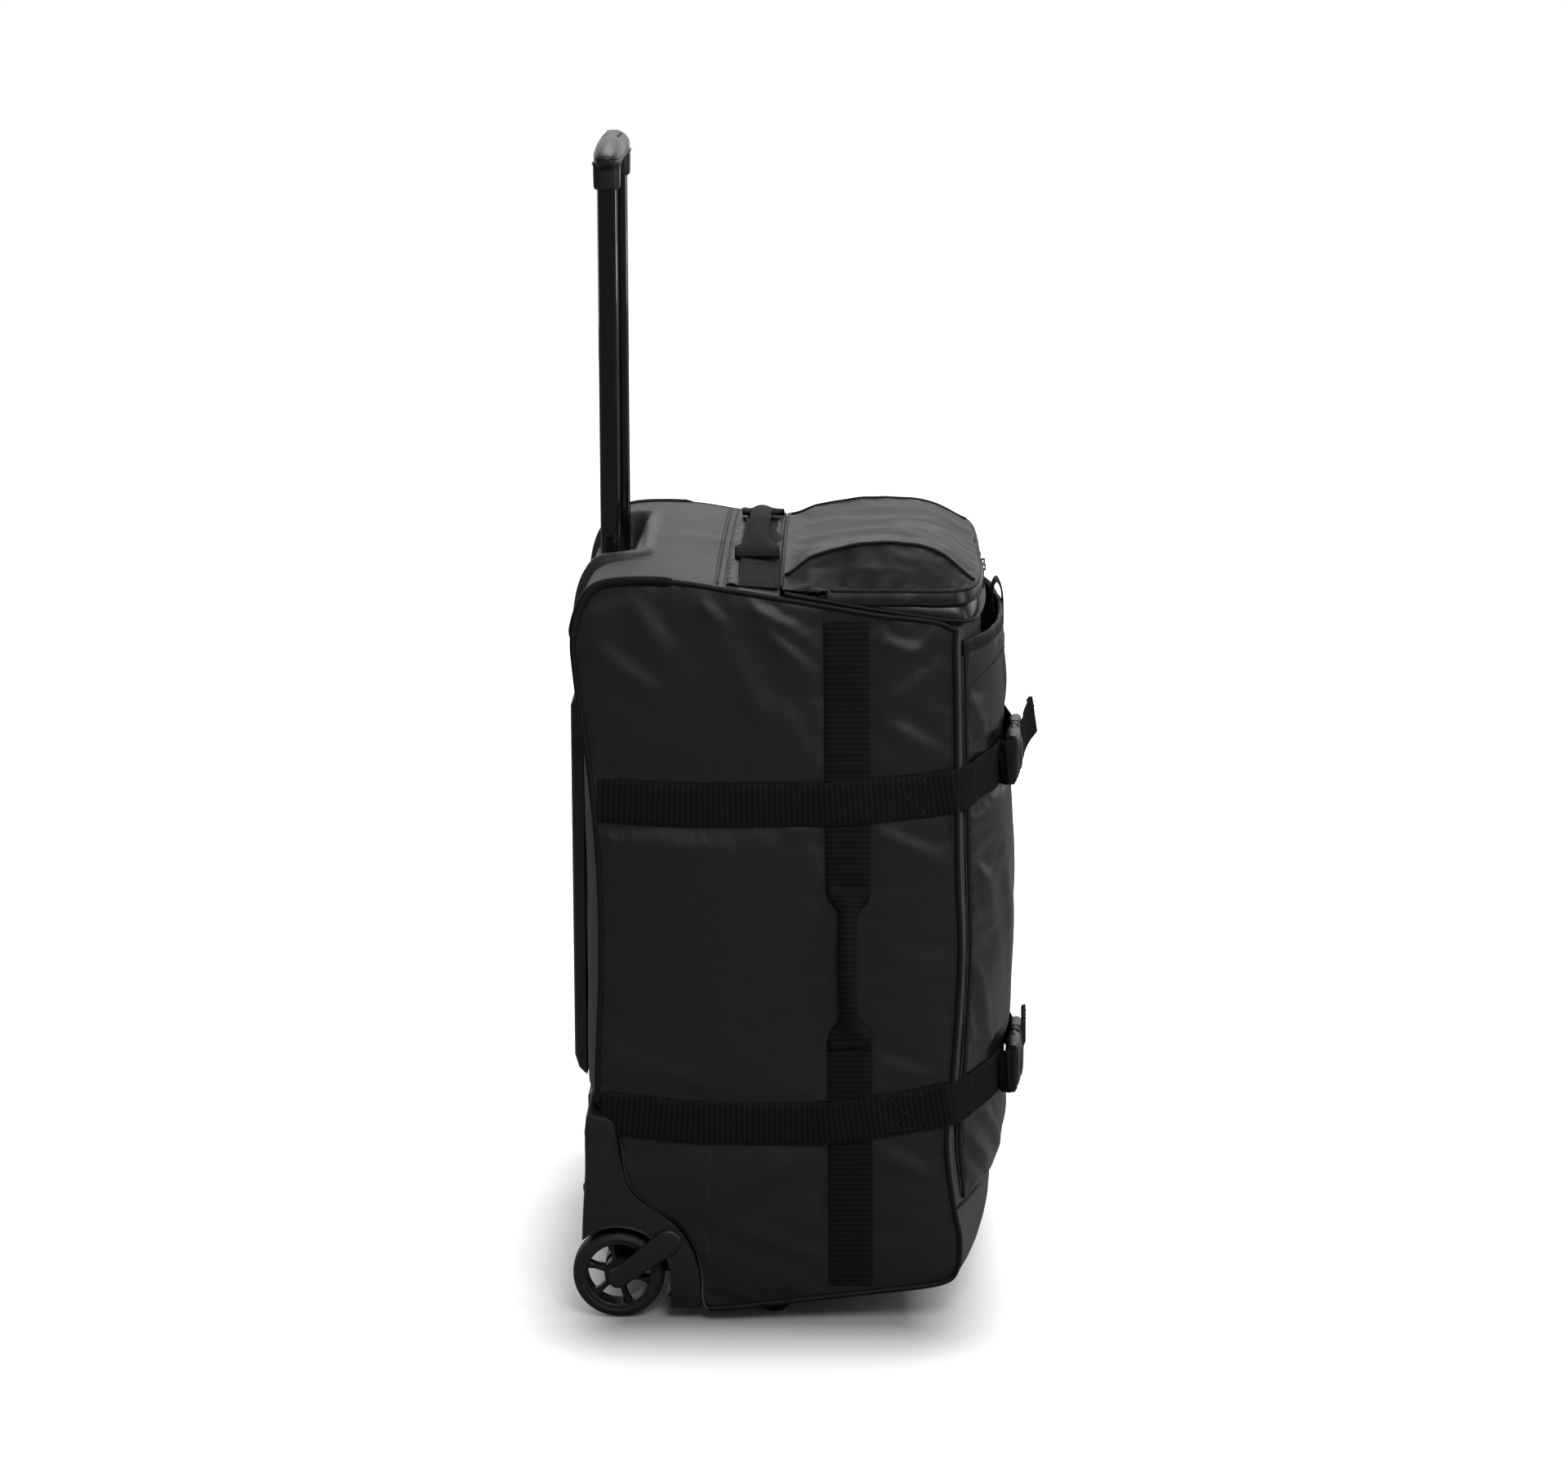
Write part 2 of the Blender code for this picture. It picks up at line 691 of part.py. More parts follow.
def lock_parts(name, sign):
    """The latch block in the tube's lower end, its pin, and the rod from the button."""
    x = sign * TUBE_X
    z = INNER_END_Z
    made = box_mesh((x - 8.2, TUBE_Y - 6.2, z + 1), (x + 8.2, TUBE_Y + 6.2, z + 22), 3.4, 2)
    block = make_object("latch_block_" + name, made, plastic())
    cut(block, box_mesh((x - 2.2, TUBE_Y - 8, z + 4), (x + 2.2, TUBE_Y + 3, z + 9)))
    cut(block, box_mesh((x - 2.2, TUBE_Y + 0.6, z + 8), (x + 2.2, TUBE_Y + 3, z + 24)))
    pin = box_mesh((x - 1.8, TUBE_Y - 9.4, z + 4.5), (x + 1.8, TUBE_Y - 2.2, z + 8.5), 0.4)
    make_object("lock_pin_" + name, pin, steel(), origin=(x, TUBE_Y - 5, z + 6.5))
    rod = push_rod_mesh(x, TUBE_Y + 1.8, z + 15, SOCKET_Z[1] + 3)
    make_object("push_rod_" + name, rod, steel(), smooth=True, origin=(x, TUBE_Y, z + 15))


def push_rod_mesh(x, y, low, high):
    """A thin upright rod."""
    place = upright(x, y)
    section = circle(1.0, 8)
    return loft([[place(p, low) for p in section], [place(p, high) for p in section]])


def grip_top(x):
    """The arched top line of the grip."""
    return GRIP_TOP - 9 * (abs(x) / 90) ** 2.2


def grip_section(x, low, height, share=1.0):
    """A D-shaped cross-section of the grip, flat underneath."""
    half = 11.6 * share
    points = [(-half, low), (half, low)]
    for k in range(7):
        angle = math.pi * k / 6
        points.append((
            half * math.cos(angle),
            low + 3 + (height - low - 3) * math.sin(angle) ** 0.8,
        ))
    return [(x, TUBE_Y + y, z) for y, z in points]


def grip():
    """The grip: two shells round the tube sockets, with the button in the upper one."""
    rings = []
    for x, share, drop in (
        (-93, 0.62, 6), (-91, 0.82, 3), (-86, 0.95, 1), (-75, 1, 0), (-50, 1, 0), (-25, 1, 0),
        (0, 1, 0), (25, 1, 0), (50, 1, 0), (75, 1, 0), (86, 0.95, 1), (91, 0.82, 3), (93, 0.62, 6),
    ):
        rings.append(grip_section(x, 996, grip_top(x) - drop, share))
    upper = make_object("grip_upper_shell", loft(rings), plastic(), smooth=True)
    cut(upper, box_mesh((-25.5, TUBE_Y - 7.5, 990), (25.5, TUBE_Y + 7.5, 1020)))
    cut(upper, box_mesh((-82, TUBE_Y - 6, 990), (82, TUBE_Y + 6, 1000.4)))

    made = box_mesh((-90, TUBE_Y - 11.3, 984.5), (90, TUBE_Y + 11.3, 995.6), 3, 2)
    lower = make_object("grip_lower_shell", made, plastic())
    for sign in (-1, 1):
        section = rounded_section(25, 22, 7)
        place = upright(sign * TUBE_X, TUBE_Y)
        socket = loft([[place(p, z) for p in section] for z in (SOCKET_Z[0], 990)])
        cut(lower, socket, "UNION")
    for sign in (-1, 1):
        section = rounded_section(INNER_TUBE[0] + 0.8, INNER_TUBE[1] + 0.8, 5.3)
        place = upright(sign * TUBE_X, TUBE_Y)
        bore = loft([[place(p, z) for p in section] for z in (SOCKET_Z[0] - 3, 993)])
        cut(lower, bore)
        x = sign * TUBE_X
        cut(lower, box_mesh((x - 3, TUBE_Y - 1.5, 990), (x + 3, TUBE_Y + 4.6, 1000)))
    cut(lower, box_mesh((-4.6, TUBE_Y - 4.6, 988), (4.6, TUBE_Y + 4.6, 1000)))
    cut(lower, box_mesh((-78, TUBE_Y - 3.8, 991.6), (78, TUBE_Y + 4.8, 1000)))


def grip_button():
    """The push button with the bar that carries both push rods, on its return spring."""
    rings = [grip_section(x, 999.5, grip_top(x) + 0.8, 0.62) for x in (-24.8, -12, 0, 12, 24.8)]
    button = make_object("grip_button", loft(rings), plastic(), smooth=True, origin=(0, TUBE_Y, 1000))
    cut(button, box_mesh((-76, TUBE_Y - 3, 996.6), (76, TUBE_Y + 4, 999.9)), "UNION")
    coil = pipe_mesh(circle(3.4, 12), circle(2.4, 12), upright(0, TUBE_Y), (988.4, 996.2))
    make_object("button_spring", coil, steel(), smooth=True, origin=(0, TUBE_Y, 988.4))


def handle_cup():
    """The moulded recess in the top back edge that the grip sinks into."""
    made = box_mesh((-97.4, 125, 618), (97.4, 190, 668), 5, 2)
    cup = make_object("handle_cup", made, plastic())
    cut(cup, box_mesh((-94, 138, 633.4), (94, 194, 672)))
    cut(cup, box_mesh((-94, 128, 600), (94, 187, 630.2)))
    cut(cup, box_mesh((-120, 100, 600), (120, 134, 652)))
    for sign in (-1, 1):
        section = rounded_section(INNER_TUBE[0] + 1.2, INNER_TUBE[1] + 1.2, 5.5)
        place = upright(sign * TUBE_X, TUBE_Y)
        cut(cup, loft([[place(p, z) for p in section] for z in (620, 640)]))


def tube_bracket():
    """The cross-member that holds the outer tubes' lower ends."""
    made = box_mesh((-90, 151, 209), (90, 177, 226), 2)
    bracket = make_object("tube_bracket", made, plastic())
    for sign in (-1, 1):
        section = rounded_section(OUTER_TUBE[0] + 0.8, OUTER_TUBE[1] + 0.8, 7.2)
        place = upright(sign * TUBE_X, TUBE_Y)
        cut(bracket, loft([[place(p, z) for p in section] for z in (217.4, 240)]))


def frame_sheet():
    """The stiff plastic sheet between the trolley and the packing space."""
    made = box_mesh((-150, 145.5, 212), (150, 148.5, 612), 0.6)
    make_object("frame_sheet", made, plastic())


def skid_rail(name, sign):
    """The rib down the back that the bag slides on."""
    x = sign * RAIL_X
    rings = []
    for z, depth in ((205, 3), (210, 8), (222, 11.6), (380, 11.6), (535, 11.6), (547, 8), (552, 3)):
        back = RAIL_BACK - 11.6 + depth
        rings.append([
            (x - 13, 185.9, z), (x + 13, 185.9, z), (x + 11, back - 2, z), (x + 7, back, z),
            (x - 7, back, z), (x - 11, back - 2, z),
        ])
    make_object("skid_rail_" + name, loft(rings), plastic(), smooth=True)


# The wheel housing's side outline, as (y, z)
HOUSING_OUTLINE = [
    (164, 190), (160, 184), (155, 157), (151.5, 137), (149, 126), (141, 114.5), (129, 103),
    (107, 88), (97, 77), (91, 64), (86, 50), (85, 38), (86.5, 16), (91, 11), (186.5, 11),
    (188.5, 71), (186.5, 103), (184.5, 137), (182.5, 190),
]


def wheel_housing(name, sign):
    """The moulded corner that holds a wheel, with its well open below and outward."""
    rings = []
    for x in HOUSING_X:
        rings.append([(sign * x, y, z) for y, z in HOUSING_OUTLINE])
    housing = make_object("wheel_housing_" + name, loft(rings), plastic())
    place = crosswise(WHEEL_Y, WHEEL_R, sign)
    well_start = WHEEL_X - TYRE_WIDTH / 2 - 3
    well = loft([[place(p, x) for p in circle(WELL_R)] for x in (well_start, HOUSING_X[1] + 12)])
    cut(housing, well)
    low = sorted((sign * well_start, sign * (HOUSING_X[1] + 12)))
    slot = box_mesh((low[0], WHEEL_Y - WELL_R + 1, -5), (low[1], WHEEL_Y + WELL_R - 1, WHEEL_R))
    cut(housing, slot)
    bore = loft([[place(p, x) for p in circle(AXLE_R + 0.3, 16)] for x in (136, well_start + 2)])
    cut(housing, bore)
    neck = [(160, 95), (182, 95), (180.5, 137), (178.6, 186), (168, 186), (164, 180),
            (159.5, 156), (156.5, 136)]
    cut(housing, loft([[(sign * x, y, z) for y, z in neck] for x in (HOUSING_X[0] - 4, 184)]))
    window = []
    for radius, turns in ((WINDOW_REACH, range(-172, 59, 10)), (BOSS_R, range(58, -173, -10))):
        for turn in turns:
            angle = math.radians(turn)
            window.append((WHEEL_Y + radius * math.cos(angle), WHEEL_R + radius * math.sin(angle)))
    inner_wall = (HOUSING_X[0] - 3, well_start + 1)
    cut(housing, loft([[(sign * x, y, z) for y, z in window] for x in inner_wall]))
    hollow = sorted((sign * (HOUSING_X[0] - 2), sign * (well_start - 4)))
    cut(housing, box_mesh((hollow[0], 100, 0), (hollow[1], 132, 70)))


def axle_arm(name, sign):
    """The bridge over the wheel's outer face that carries the axle's outer end."""
    start = Vector((113, 74))
    end = Vector((WHEEL_Y, WHEEL_R))
    run = (end - start).normalized()
    side = Vector((-run.y, run.x))
    outline = []
    for centre, radius, turn in ((start, 11, 90), (end, 8.5, -90)):
        for k in range(7):
            angle = math.radians(turn + 180 * k / 6)
            offset = run * math.cos(angle) + side * math.sin(angle)
            outline.append(centre + offset * radius)
    rings = []
    for x, inset in ((188.4, 0), (192, 0), (193.6, 1.5)):
        ring = []
        for i, point in enumerate(outline):
            centre = start if i < 7 else end
            inward = (centre - point).normalized() * inset
            ring.append((sign * x, point.x + inward.x, point.y + inward.y))
        rings.append(ring)
    arm = make_object("axle_arm_" + name, loft(rings), plastic(), smooth=True)
    place = crosswise(WHEEL_Y, WHEEL_R, sign)
    cut(arm, loft([[place(p, x) for p in circle(AXLE_R + 0.3, 16)] for x in (180, 191)]))


def wheel(name, sign):
    """A wheel: tyre, spoked hub and bearing, turning on its axle."""
    place = crosswise(WHEEL_Y, WHEEL_R, sign)
    axle = loft([[place(p, x) for p in circle(AXLE_R, 16)] for x in (136.5, 190.6)])
    make_object("axle_" + name, axle, steel(), smooth=True)

    origin = (sign * WHEEL_X, WHEEL_Y, WHEEL_R)
    near, far = WHEEL_X - TYRE_WIDTH / 2, WHEEL_X + TYRE_WIDTH / 2
    profile = [
        (31, near + 2), (35, near), (38.6, near + 2.5), (WHEEL_R, near + 7), (WHEEL_R, far - 7),
        (38.6, far - 2.5), (35, far), (31, far - 2),
    ]
    rings = [[place(p, x) for p in circle(r)] for r, x in profile]
    make_object("tyre_" + name, ring_mesh(rings), rubber(), smooth=True, origin=origin)

    rim_near, rim_far = near + 2.5, far - 2.5
    boss_near, boss_far = near + 3.2, far - 3.2
    disc_near, disc_far = WHEEL_X - 3, WHEEL_X + 3
    profile = [
        (8.4, boss_near), (12, boss_near), (12, disc_near), (27, disc_near), (27, rim_near),
        (30.6, rim_near), (30.6, rim_far), (27, rim_far), (27, disc_far), (12, disc_far),
        (12, boss_far), (8.4, boss_far),
    ]
    rings = [[place(p, x) for p in circle(r)] for r, x in profile]
    hub = make_object("wheel_hub_" + name, ring_mesh(rings), plastic(), smooth=True, origin=origin)
    for k in range(6):
        angle = 2 * math.pi * (k + 0.5) / 6
        spot = (19.8 * math.cos(angle), 19.8 * math.sin(angle))
        window = [(spot[0] + p[0], spot[1] + p[1]) for p in circle(5.4, 8)]
        cut(hub, loft([[place(p, x) for p in window] for x in (near, far)]))
    bearing = pipe_mesh(circle(8, 20), circle(AXLE_R + 0.15, 20), place, (near + 3.6, far - 3.6))
    make_object("wheel_bearing_" + name, bearing, steel(), smooth=True, origin=origin)


def ring_mesh(rings):
    """A closed ring of rings, such as a tyre."""
    made = bmesh.new()
    rows = [[made.verts.new(point) for point in ring] for ring in rings]
    for k in range(len(rows)):
        row, following = rows[k], rows[(k + 1) % len(rows)]
        for i in range(len(row)):
            j = (i + 1) % len(row)
            made.faces.new((row[i], row[j], following[j], following[i]))
    bmesh.ops.recalc_face_normals(made, faces=made.faces)
    return made


def foot(name, sign):
    """A half-round foot under the bag's bottom."""
    x = sign * FOOT_X
    rings = []
    for place_x in (x - 12, x + 12):
        ring = [(place_x, FOOT_Y + 13, 13), (place_x, FOOT_Y - 13, 13)]
        for k in range(7):
            angle = math.pi + math.pi * k / 6
            ring.append((place_x, FOOT_Y + 13 * math.cos(angle), 9 + 9 * math.sin(angle)))
        rings.append(ring)
    make_object("foot_" + name, loft(rings), plastic(), smooth=True)


def base_crossbar():
    """The moulding across the back between the wheel housings."""
    made = box_mesh((-127.4, 164, 60), (127.4, 186, 188), 4)
    bar = make_object("base_crossbar", made, plastic())
    cut(bar, box_mesh((-120, 150, 66), (120, 182, 182)))


def build():
    clear_scene()
    bag_shell()
    base_tray()
    front_sheet("front_pocket", POCKET_BOTTOM, POCKET_TOP, 0, POCKET_WALL, 10, 14, fabric())
    front_sheet("pocket_binding", POCKET_TOP - 12, POCKET_TOP, 2, 1.6, 1, 14, webbing_finish())
    lid_panel()
    zip_band()
    zip_sliders()
    top_webbing()
    top_handle()
    for name, sign in (("left", -1), ("right", 1)):
        side_webbing(name, sign)
        side_handle(name, sign)
        end_x = 106 if sign < 0 else 14
        strap("upper_strap_" + name, sign, UPPER_STRAP, end_x)
        strap("lower_strap_" + name, sign, LOWER_STRAP, end_x)
        outer_tube(name, sign)
        inner_tube(name, sign)
        lock_parts(name, sign)
        skid_rail(name, sign)
        wheel_housing(name, sign)
        axle_arm(name, sign)
        wheel(name, sign)
        foot(name, sign)
    for name, z in BUCKLES.items():
        buckle(name, z)
    grip()
    grip_button()
    handle_cup()
    tube_bracket()
    frame_sheet()
    base_crossbar()


build()
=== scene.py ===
"""The looks of the rolling duffel bag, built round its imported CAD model.

Sizes and places are in millimetres in the CAD's frame, and MM turns them into metres.
"""

import math

import bmesh
import bpy
import numpy as np
from mathutils import Matrix, Vector, noise
from mathutils.bvhtree import BVHTree


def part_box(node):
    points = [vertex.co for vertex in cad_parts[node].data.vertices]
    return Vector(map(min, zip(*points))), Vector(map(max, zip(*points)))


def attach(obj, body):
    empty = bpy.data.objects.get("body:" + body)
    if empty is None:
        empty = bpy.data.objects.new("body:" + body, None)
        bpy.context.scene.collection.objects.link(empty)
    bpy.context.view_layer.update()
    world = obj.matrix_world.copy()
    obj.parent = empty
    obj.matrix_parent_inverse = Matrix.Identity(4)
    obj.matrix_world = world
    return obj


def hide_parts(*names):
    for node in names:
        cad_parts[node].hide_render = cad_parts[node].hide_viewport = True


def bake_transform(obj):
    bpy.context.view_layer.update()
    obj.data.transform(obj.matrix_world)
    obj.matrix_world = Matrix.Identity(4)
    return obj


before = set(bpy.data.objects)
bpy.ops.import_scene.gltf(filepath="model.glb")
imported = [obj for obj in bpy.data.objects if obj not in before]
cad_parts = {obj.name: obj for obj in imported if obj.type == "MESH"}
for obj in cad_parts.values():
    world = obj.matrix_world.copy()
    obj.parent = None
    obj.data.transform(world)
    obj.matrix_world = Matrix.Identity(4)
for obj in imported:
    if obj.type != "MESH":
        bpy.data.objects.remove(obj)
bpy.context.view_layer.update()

MM = 0.001
SIDES = (("left", -1), ("right", 1))

# The bag's body, as the CAD has it
HALF_WIDTH = 188
SIDE_BULGE = 7
SIDE_OUTLINE = [
    (173, 208), (169, 320), (170, 411), (177, 495), (187, 570), (189, 612), (178, 643),
    (158, 655), (108, 656), (60, 649), (16.5, 642), (-61, 629), (-124, 619), (-130, 590),
    (-134, 413), (-137, 330), (-132, 230), (-127, 165), (-134, 106), (-139, 80), (-137, 50),
    (-121, 37), (-64, 29), (7, 20), (72, 12.5), (82.2, 19), (83, 40), (88, 66), (104, 91),
    (127, 106), (146, 127), (152, 158), (157, 190), (164, 200),
]
MIDDLE_OUTLINE = [
    (184, 208), (184.5, 320), (184.5, 411), (184.5, 495), (185, 570), (186, 612), (178, 643),
    (160, 657), (108, 661), (60, 656), (16.5, 660), (-61, 640), (-152, 619), (-154, 590),
    (-160, 413), (-162, 330), (-160, 230), (-160, 165), (-166, 106), (-168, 80), (-157, 46),
    (-133, 33), (-64, 27), (7, 20), (72, 13), (82.2, 19), (83, 40), (88, 66), (104, 91),
    (127, 106), (146, 127), (152, 158), (160, 190), (172, 200),
]
CROWN = 2.6
BACK_CROWN = 6
STEPS = 8

# Places on both outlines, counted in their points
BACK_TOP = 5.6
LID_BACK = 10
FRONT_TOP = 12
BASE_TOP = 18
FRONT_FOOT = 20
WAY_ROUND = 34

# The lid, its zip and the front pocket
HINGE = (0, 16, 662)
LID_BACK_Y = 14.8
RIM_Z = 646
LID_HALF_WIDTH = 184
LID_FRONT_Y = -153
LID_CORNER_Y = -108
LID_ROUND = 4.2
LID_CREST = [
    (0, 16), (0.12, 20), (0.24, 27), (0.39, 33), (0.55, 34.5), (0.71, 32), (0.81, 26),
    (0.89, 16), (0.95, 6), (1, 0),
]
LID_SEAM = 147
ZIP_INSET = 5
POCKET_HALF_WIDTH = 177
POCKET_TOP = 603
POCKET_BOTTOM = 112
POCKET_SIDE = [(110, -136), (165, -128), (230, -133), (330, -138), (413, -135), (603, -131)]
POCKET_MIDDLE = [(110, -176), (165, -181), (230, -183), (330, -184), (413, -182), (603, -170)]

# Webbing
WEBBING = 38
THICK = 1.8
SIDE_WEBBING_Y = -40
TOP_WEBBING_Y = 34.5
UPPER_STRAP = [(-150, 482), (-109, 474), (-21, 467), (90, 465), (170, 468)]
LOWER_STRAP = [(-150, 204), (-109, 197), (-21, 184), (90, 184), (170, 191)]
STRAPS = {"upper": UPPER_STRAP, "lower": LOWER_STRAP}
BUCKLES = {"upper": 484, "lower": 205}
BUCKLE_X = -62
BUCKLE_TILT = math.radians(-4.5)

# The trolley and the wheels
TUBE_X = 70
TUBE_Y = 164.5
WHEEL_X = 171.5
WHEEL_Y = 157
WHEEL_R = 40


# ---------------------------------------------------------------- materials


def add_node(tree, kind, values=None, **settings):
    """A node with its settings, and its inputs set to values or linked to sockets."""
    made = tree.nodes.new(kind)
    for key, value in settings.items():
        setattr(made, key, value)
    for key, value in (values or {}).items():
        if isinstance(value, bpy.types.NodeSocket):
            tree.links.new(value, made.inputs[key])
        else:
            made.inputs[key].default_value = value
    return made


def grey(value, tint=0.0):
    """A near-black grey, cooler as tint rises."""
    return (value * (1 - tint), value, value * (1 + tint), 1)


class Finish:
    """A Principled material whose colour, roughness and bump vary over the surface."""

    def __init__(self, name, coordinates="UV"):
        self.material = bpy.data.materials.new(name)
        self.material.use_nodes = True
        self.tree = self.material.node_tree
        self.shader = self.tree.nodes["Principled BSDF"]
        self.place = add_node(self.tree, "ShaderNodeTexCoord").outputs[coordinates]
        self.bump = None

    def noise(self, scale, detail=3.0, rough=0.5, stretch=None):
        place = self.place
        if stretch:
            place = add_node(
                self.tree, "ShaderNodeMapping", {"Vector": place, "Scale": stretch}
            ).outputs["Vector"]
        values = {"Vector": place, "Scale": scale, "Detail": detail, "Roughness": rough}
        return add_node(self.tree, "ShaderNodeTexNoise", values).outputs["Fac"]

    def wave(self, scale, axis, distortion=0.0):
        values = {"Vector": self.place, "Scale": scale, "Distortion": distortion}
        return add_node(
            self.tree, "ShaderNodeTexWave", values, wave_type="BANDS", bands_direction=axis
        ).outputs["Fac"]

    def ramp(self, factor, low, high, start=0.3, end=0.7):
        """A colour ramp between two greys or colours."""
        made = add_node(self.tree, "ShaderNodeValToRGB", {"Fac": factor})
        for element, colour, at in zip(made.color_ramp.elements, (low, high), (start, end)):
            element.color = colour
            element.position = at
        return made.outputs["Color"]

    def span(self, factor, low, high, start=0.3, end=0.7):
        values = {"Value": factor, "From Min": start, "From Max": end, "To Min": low, "To Max": high}
        return add_node(self.tree, "ShaderNodeMapRange", values).outputs["Result"]

    def multiply(self, first, second):
        made = add_node(self.tree, "ShaderNodeMath", operation="MULTIPLY")
        self.tree.links.new(first, made.inputs[0])
        self.tree.links.new(second, made.inputs[1])
        return made.outputs["Value"]

    def raise_by(self, height, distance, strength=1.0):
        """Adds a layer of bump; distance is in millimetres."""
        values = {"Height": height, "Distance": distance * MM, "Strength": strength}
        if self.bump:
            values["Normal"] = self.bump
        self.bump = add_node(self.tree, "ShaderNodeBump", values).outputs["Normal"]

    def done(self, colour, roughness, **fixed):
        links = self.tree.links
        links.new(colour, self.shader.inputs["Base Color"])
        links.new(roughness, self.shader.inputs["Roughness"])
        if self.bump:
            links.new(self.bump, self.shader.inputs["Normal"])
        for name, value in fixed.items():
            self.shader.inputs[name.replace("_", " ")].default_value = value
        return self.material


def coated_fabric(name, shade, gloss=0.0, index=1.5):
    """Tarpaulin: a smooth black coating over a woven cloth whose threads just show."""
    made = Finish(name)
    mottle = made.noise(9, 4)
    grain = made.noise(420, 3, 0.6)
    threads = made.multiply(made.wave(290, "X", 0.4), made.wave(290, "Y", 0.4))
    made.raise_by(made.noise(26, 4, 0.55), 0.9, 0.5)
    made.raise_by(made.noise(95, 3, 0.6), 0.22, 0.4)
    made.raise_by(threads, 0.07, 0.6)
    made.raise_by(grain, 0.05, 0.5)
    colour = made.ramp(mottle, grey(shade * 0.86, 0.02), grey(shade * 1.14, 0.03))
    return made.done(colour, made.span(mottle, 0.5 - gloss, 0.4 - gloss), IOR=index)


def webbing_finish(name, shade):
    """Ribbed polyester webbing: fine threads along it, with shade painted into its colour between its
    ribs.
    """
    made = Finish(name)
    ribs = made.wave(66.3, "Y")
    threads = made.wave(330, "X", 0.6)
    fuzz = made.noise(700, 2, 0.7)
    made.raise_by(threads, 0.12, 0.5)
    made.raise_by(fuzz, 0.1, 0.5)
    # Painted shade: the colour darkens in bands across the webbing, as shade between its ribs.
    colour = made.ramp(made.multiply(ribs, fuzz), grey(shade * 0.4), grey(shade * 2.0), 0.1, 0.6)
    return made.done(colour, made.span(fuzz, 0.7, 0.88), Specular_IOR_Level=0.22)


def plastic_finish(name, shade, rough=0.42, grain=520):
    """Moulded plastic with a fine spark-eroded grain and faint scuffing."""
    made = Finish(name, "Object")
    speckle = made.noise(grain, 3, 0.65)
    wear = made.noise(34, 5, 0.7)
    made.raise_by(speckle, 0.09, 0.5)
    colour = made.ramp(wear, grey(shade * 0.85), grey(shade * 1.2))
    return made.done(colour, made.span(wear, rough - 0.05, rough + 0.08))


def tube_finish():
    """Black anodised aluminium, drawn lengthwise."""
    made = Finish("anodised_tube", "Object")
    drawn = made.noise(900, 3, 0.6, (1, 1, 0.012))
    smudge = made.noise(18, 4, 0.6)
    made.raise_by(drawn, 0.02, 0.35)
    colour = made.ramp(drawn, grey(0.004, 0.03), grey(0.007, 0.03))
    return made.done(colour, made.span(smudge, 0.08, 0.15), Metallic=0.2, Coat_Weight=0.6)


def steel_finish():
    made = Finish("plated_steel", "Object")
    drawn = made.noise(500, 3, 0.6)
    made.raise_by(drawn, 0.03, 0.4)
    colour = made.ramp(drawn, grey(0.30, 0.02), grey(0.42, 0.02))
    return made.done(colour, made.span(drawn, 0.25, 0.4), Metallic=1.0)


def gunmetal_finish():
    made = Finish("gunmetal", "Object")
    worn = made.noise(300, 4, 0.6)
    made.raise_by(worn, 0.05, 0.4)
    colour = made.ramp(worn, grey(0.030), grey(0.055))
    return made.done(colour, made.span(worn, 0.3, 0.45), Metallic=0.9)


def rubber_finish():
    made = Finish("tyre_rubber", "Object")
    grain = made.noise(640, 3, 0.7)
    dust = made.noise(60, 5, 0.7)
    made.raise_by(grain, 0.12, 0.5)
    colour = made.ramp(dust, grey(0.0085), grey(0.016))
    return made.done(colour, made.span(dust, 0.5, 0.68))


def lining_finish():
    """Grey nylon lining."""
    made = Finish("lining")
    cloth = made.multiply(made.wave(400, "X", 0.5), made.wave(400, "Y", 0.5))
    soft = made.noise(14, 4)
    made.raise_by(soft, 1.4, 0.6)
    made.raise_by(cloth, 0.06, 0.5)
    colour = made.ramp(soft, grey(0.05), grey(0.075))
    return made.done(colour, made.span(soft, 0.6, 0.75))


def thread_finish():
    made = Finish("thread", "Object")
    twist = made.noise(1500, 2, 0.7)
    colour = made.ramp(twist, grey(0.009), grey(0.022))
    made.raise_by(twist, 0.08, 0.6)
    return made.done(colour, made.span(twist, 0.55, 0.75))


# The shadow round the bag's foot is painted into the floor's colour and emission.
FOOT_PAINTED_SHADOW = (0.19, 0.12, 0)  # half the size, in metres, of the floor in deepest shade


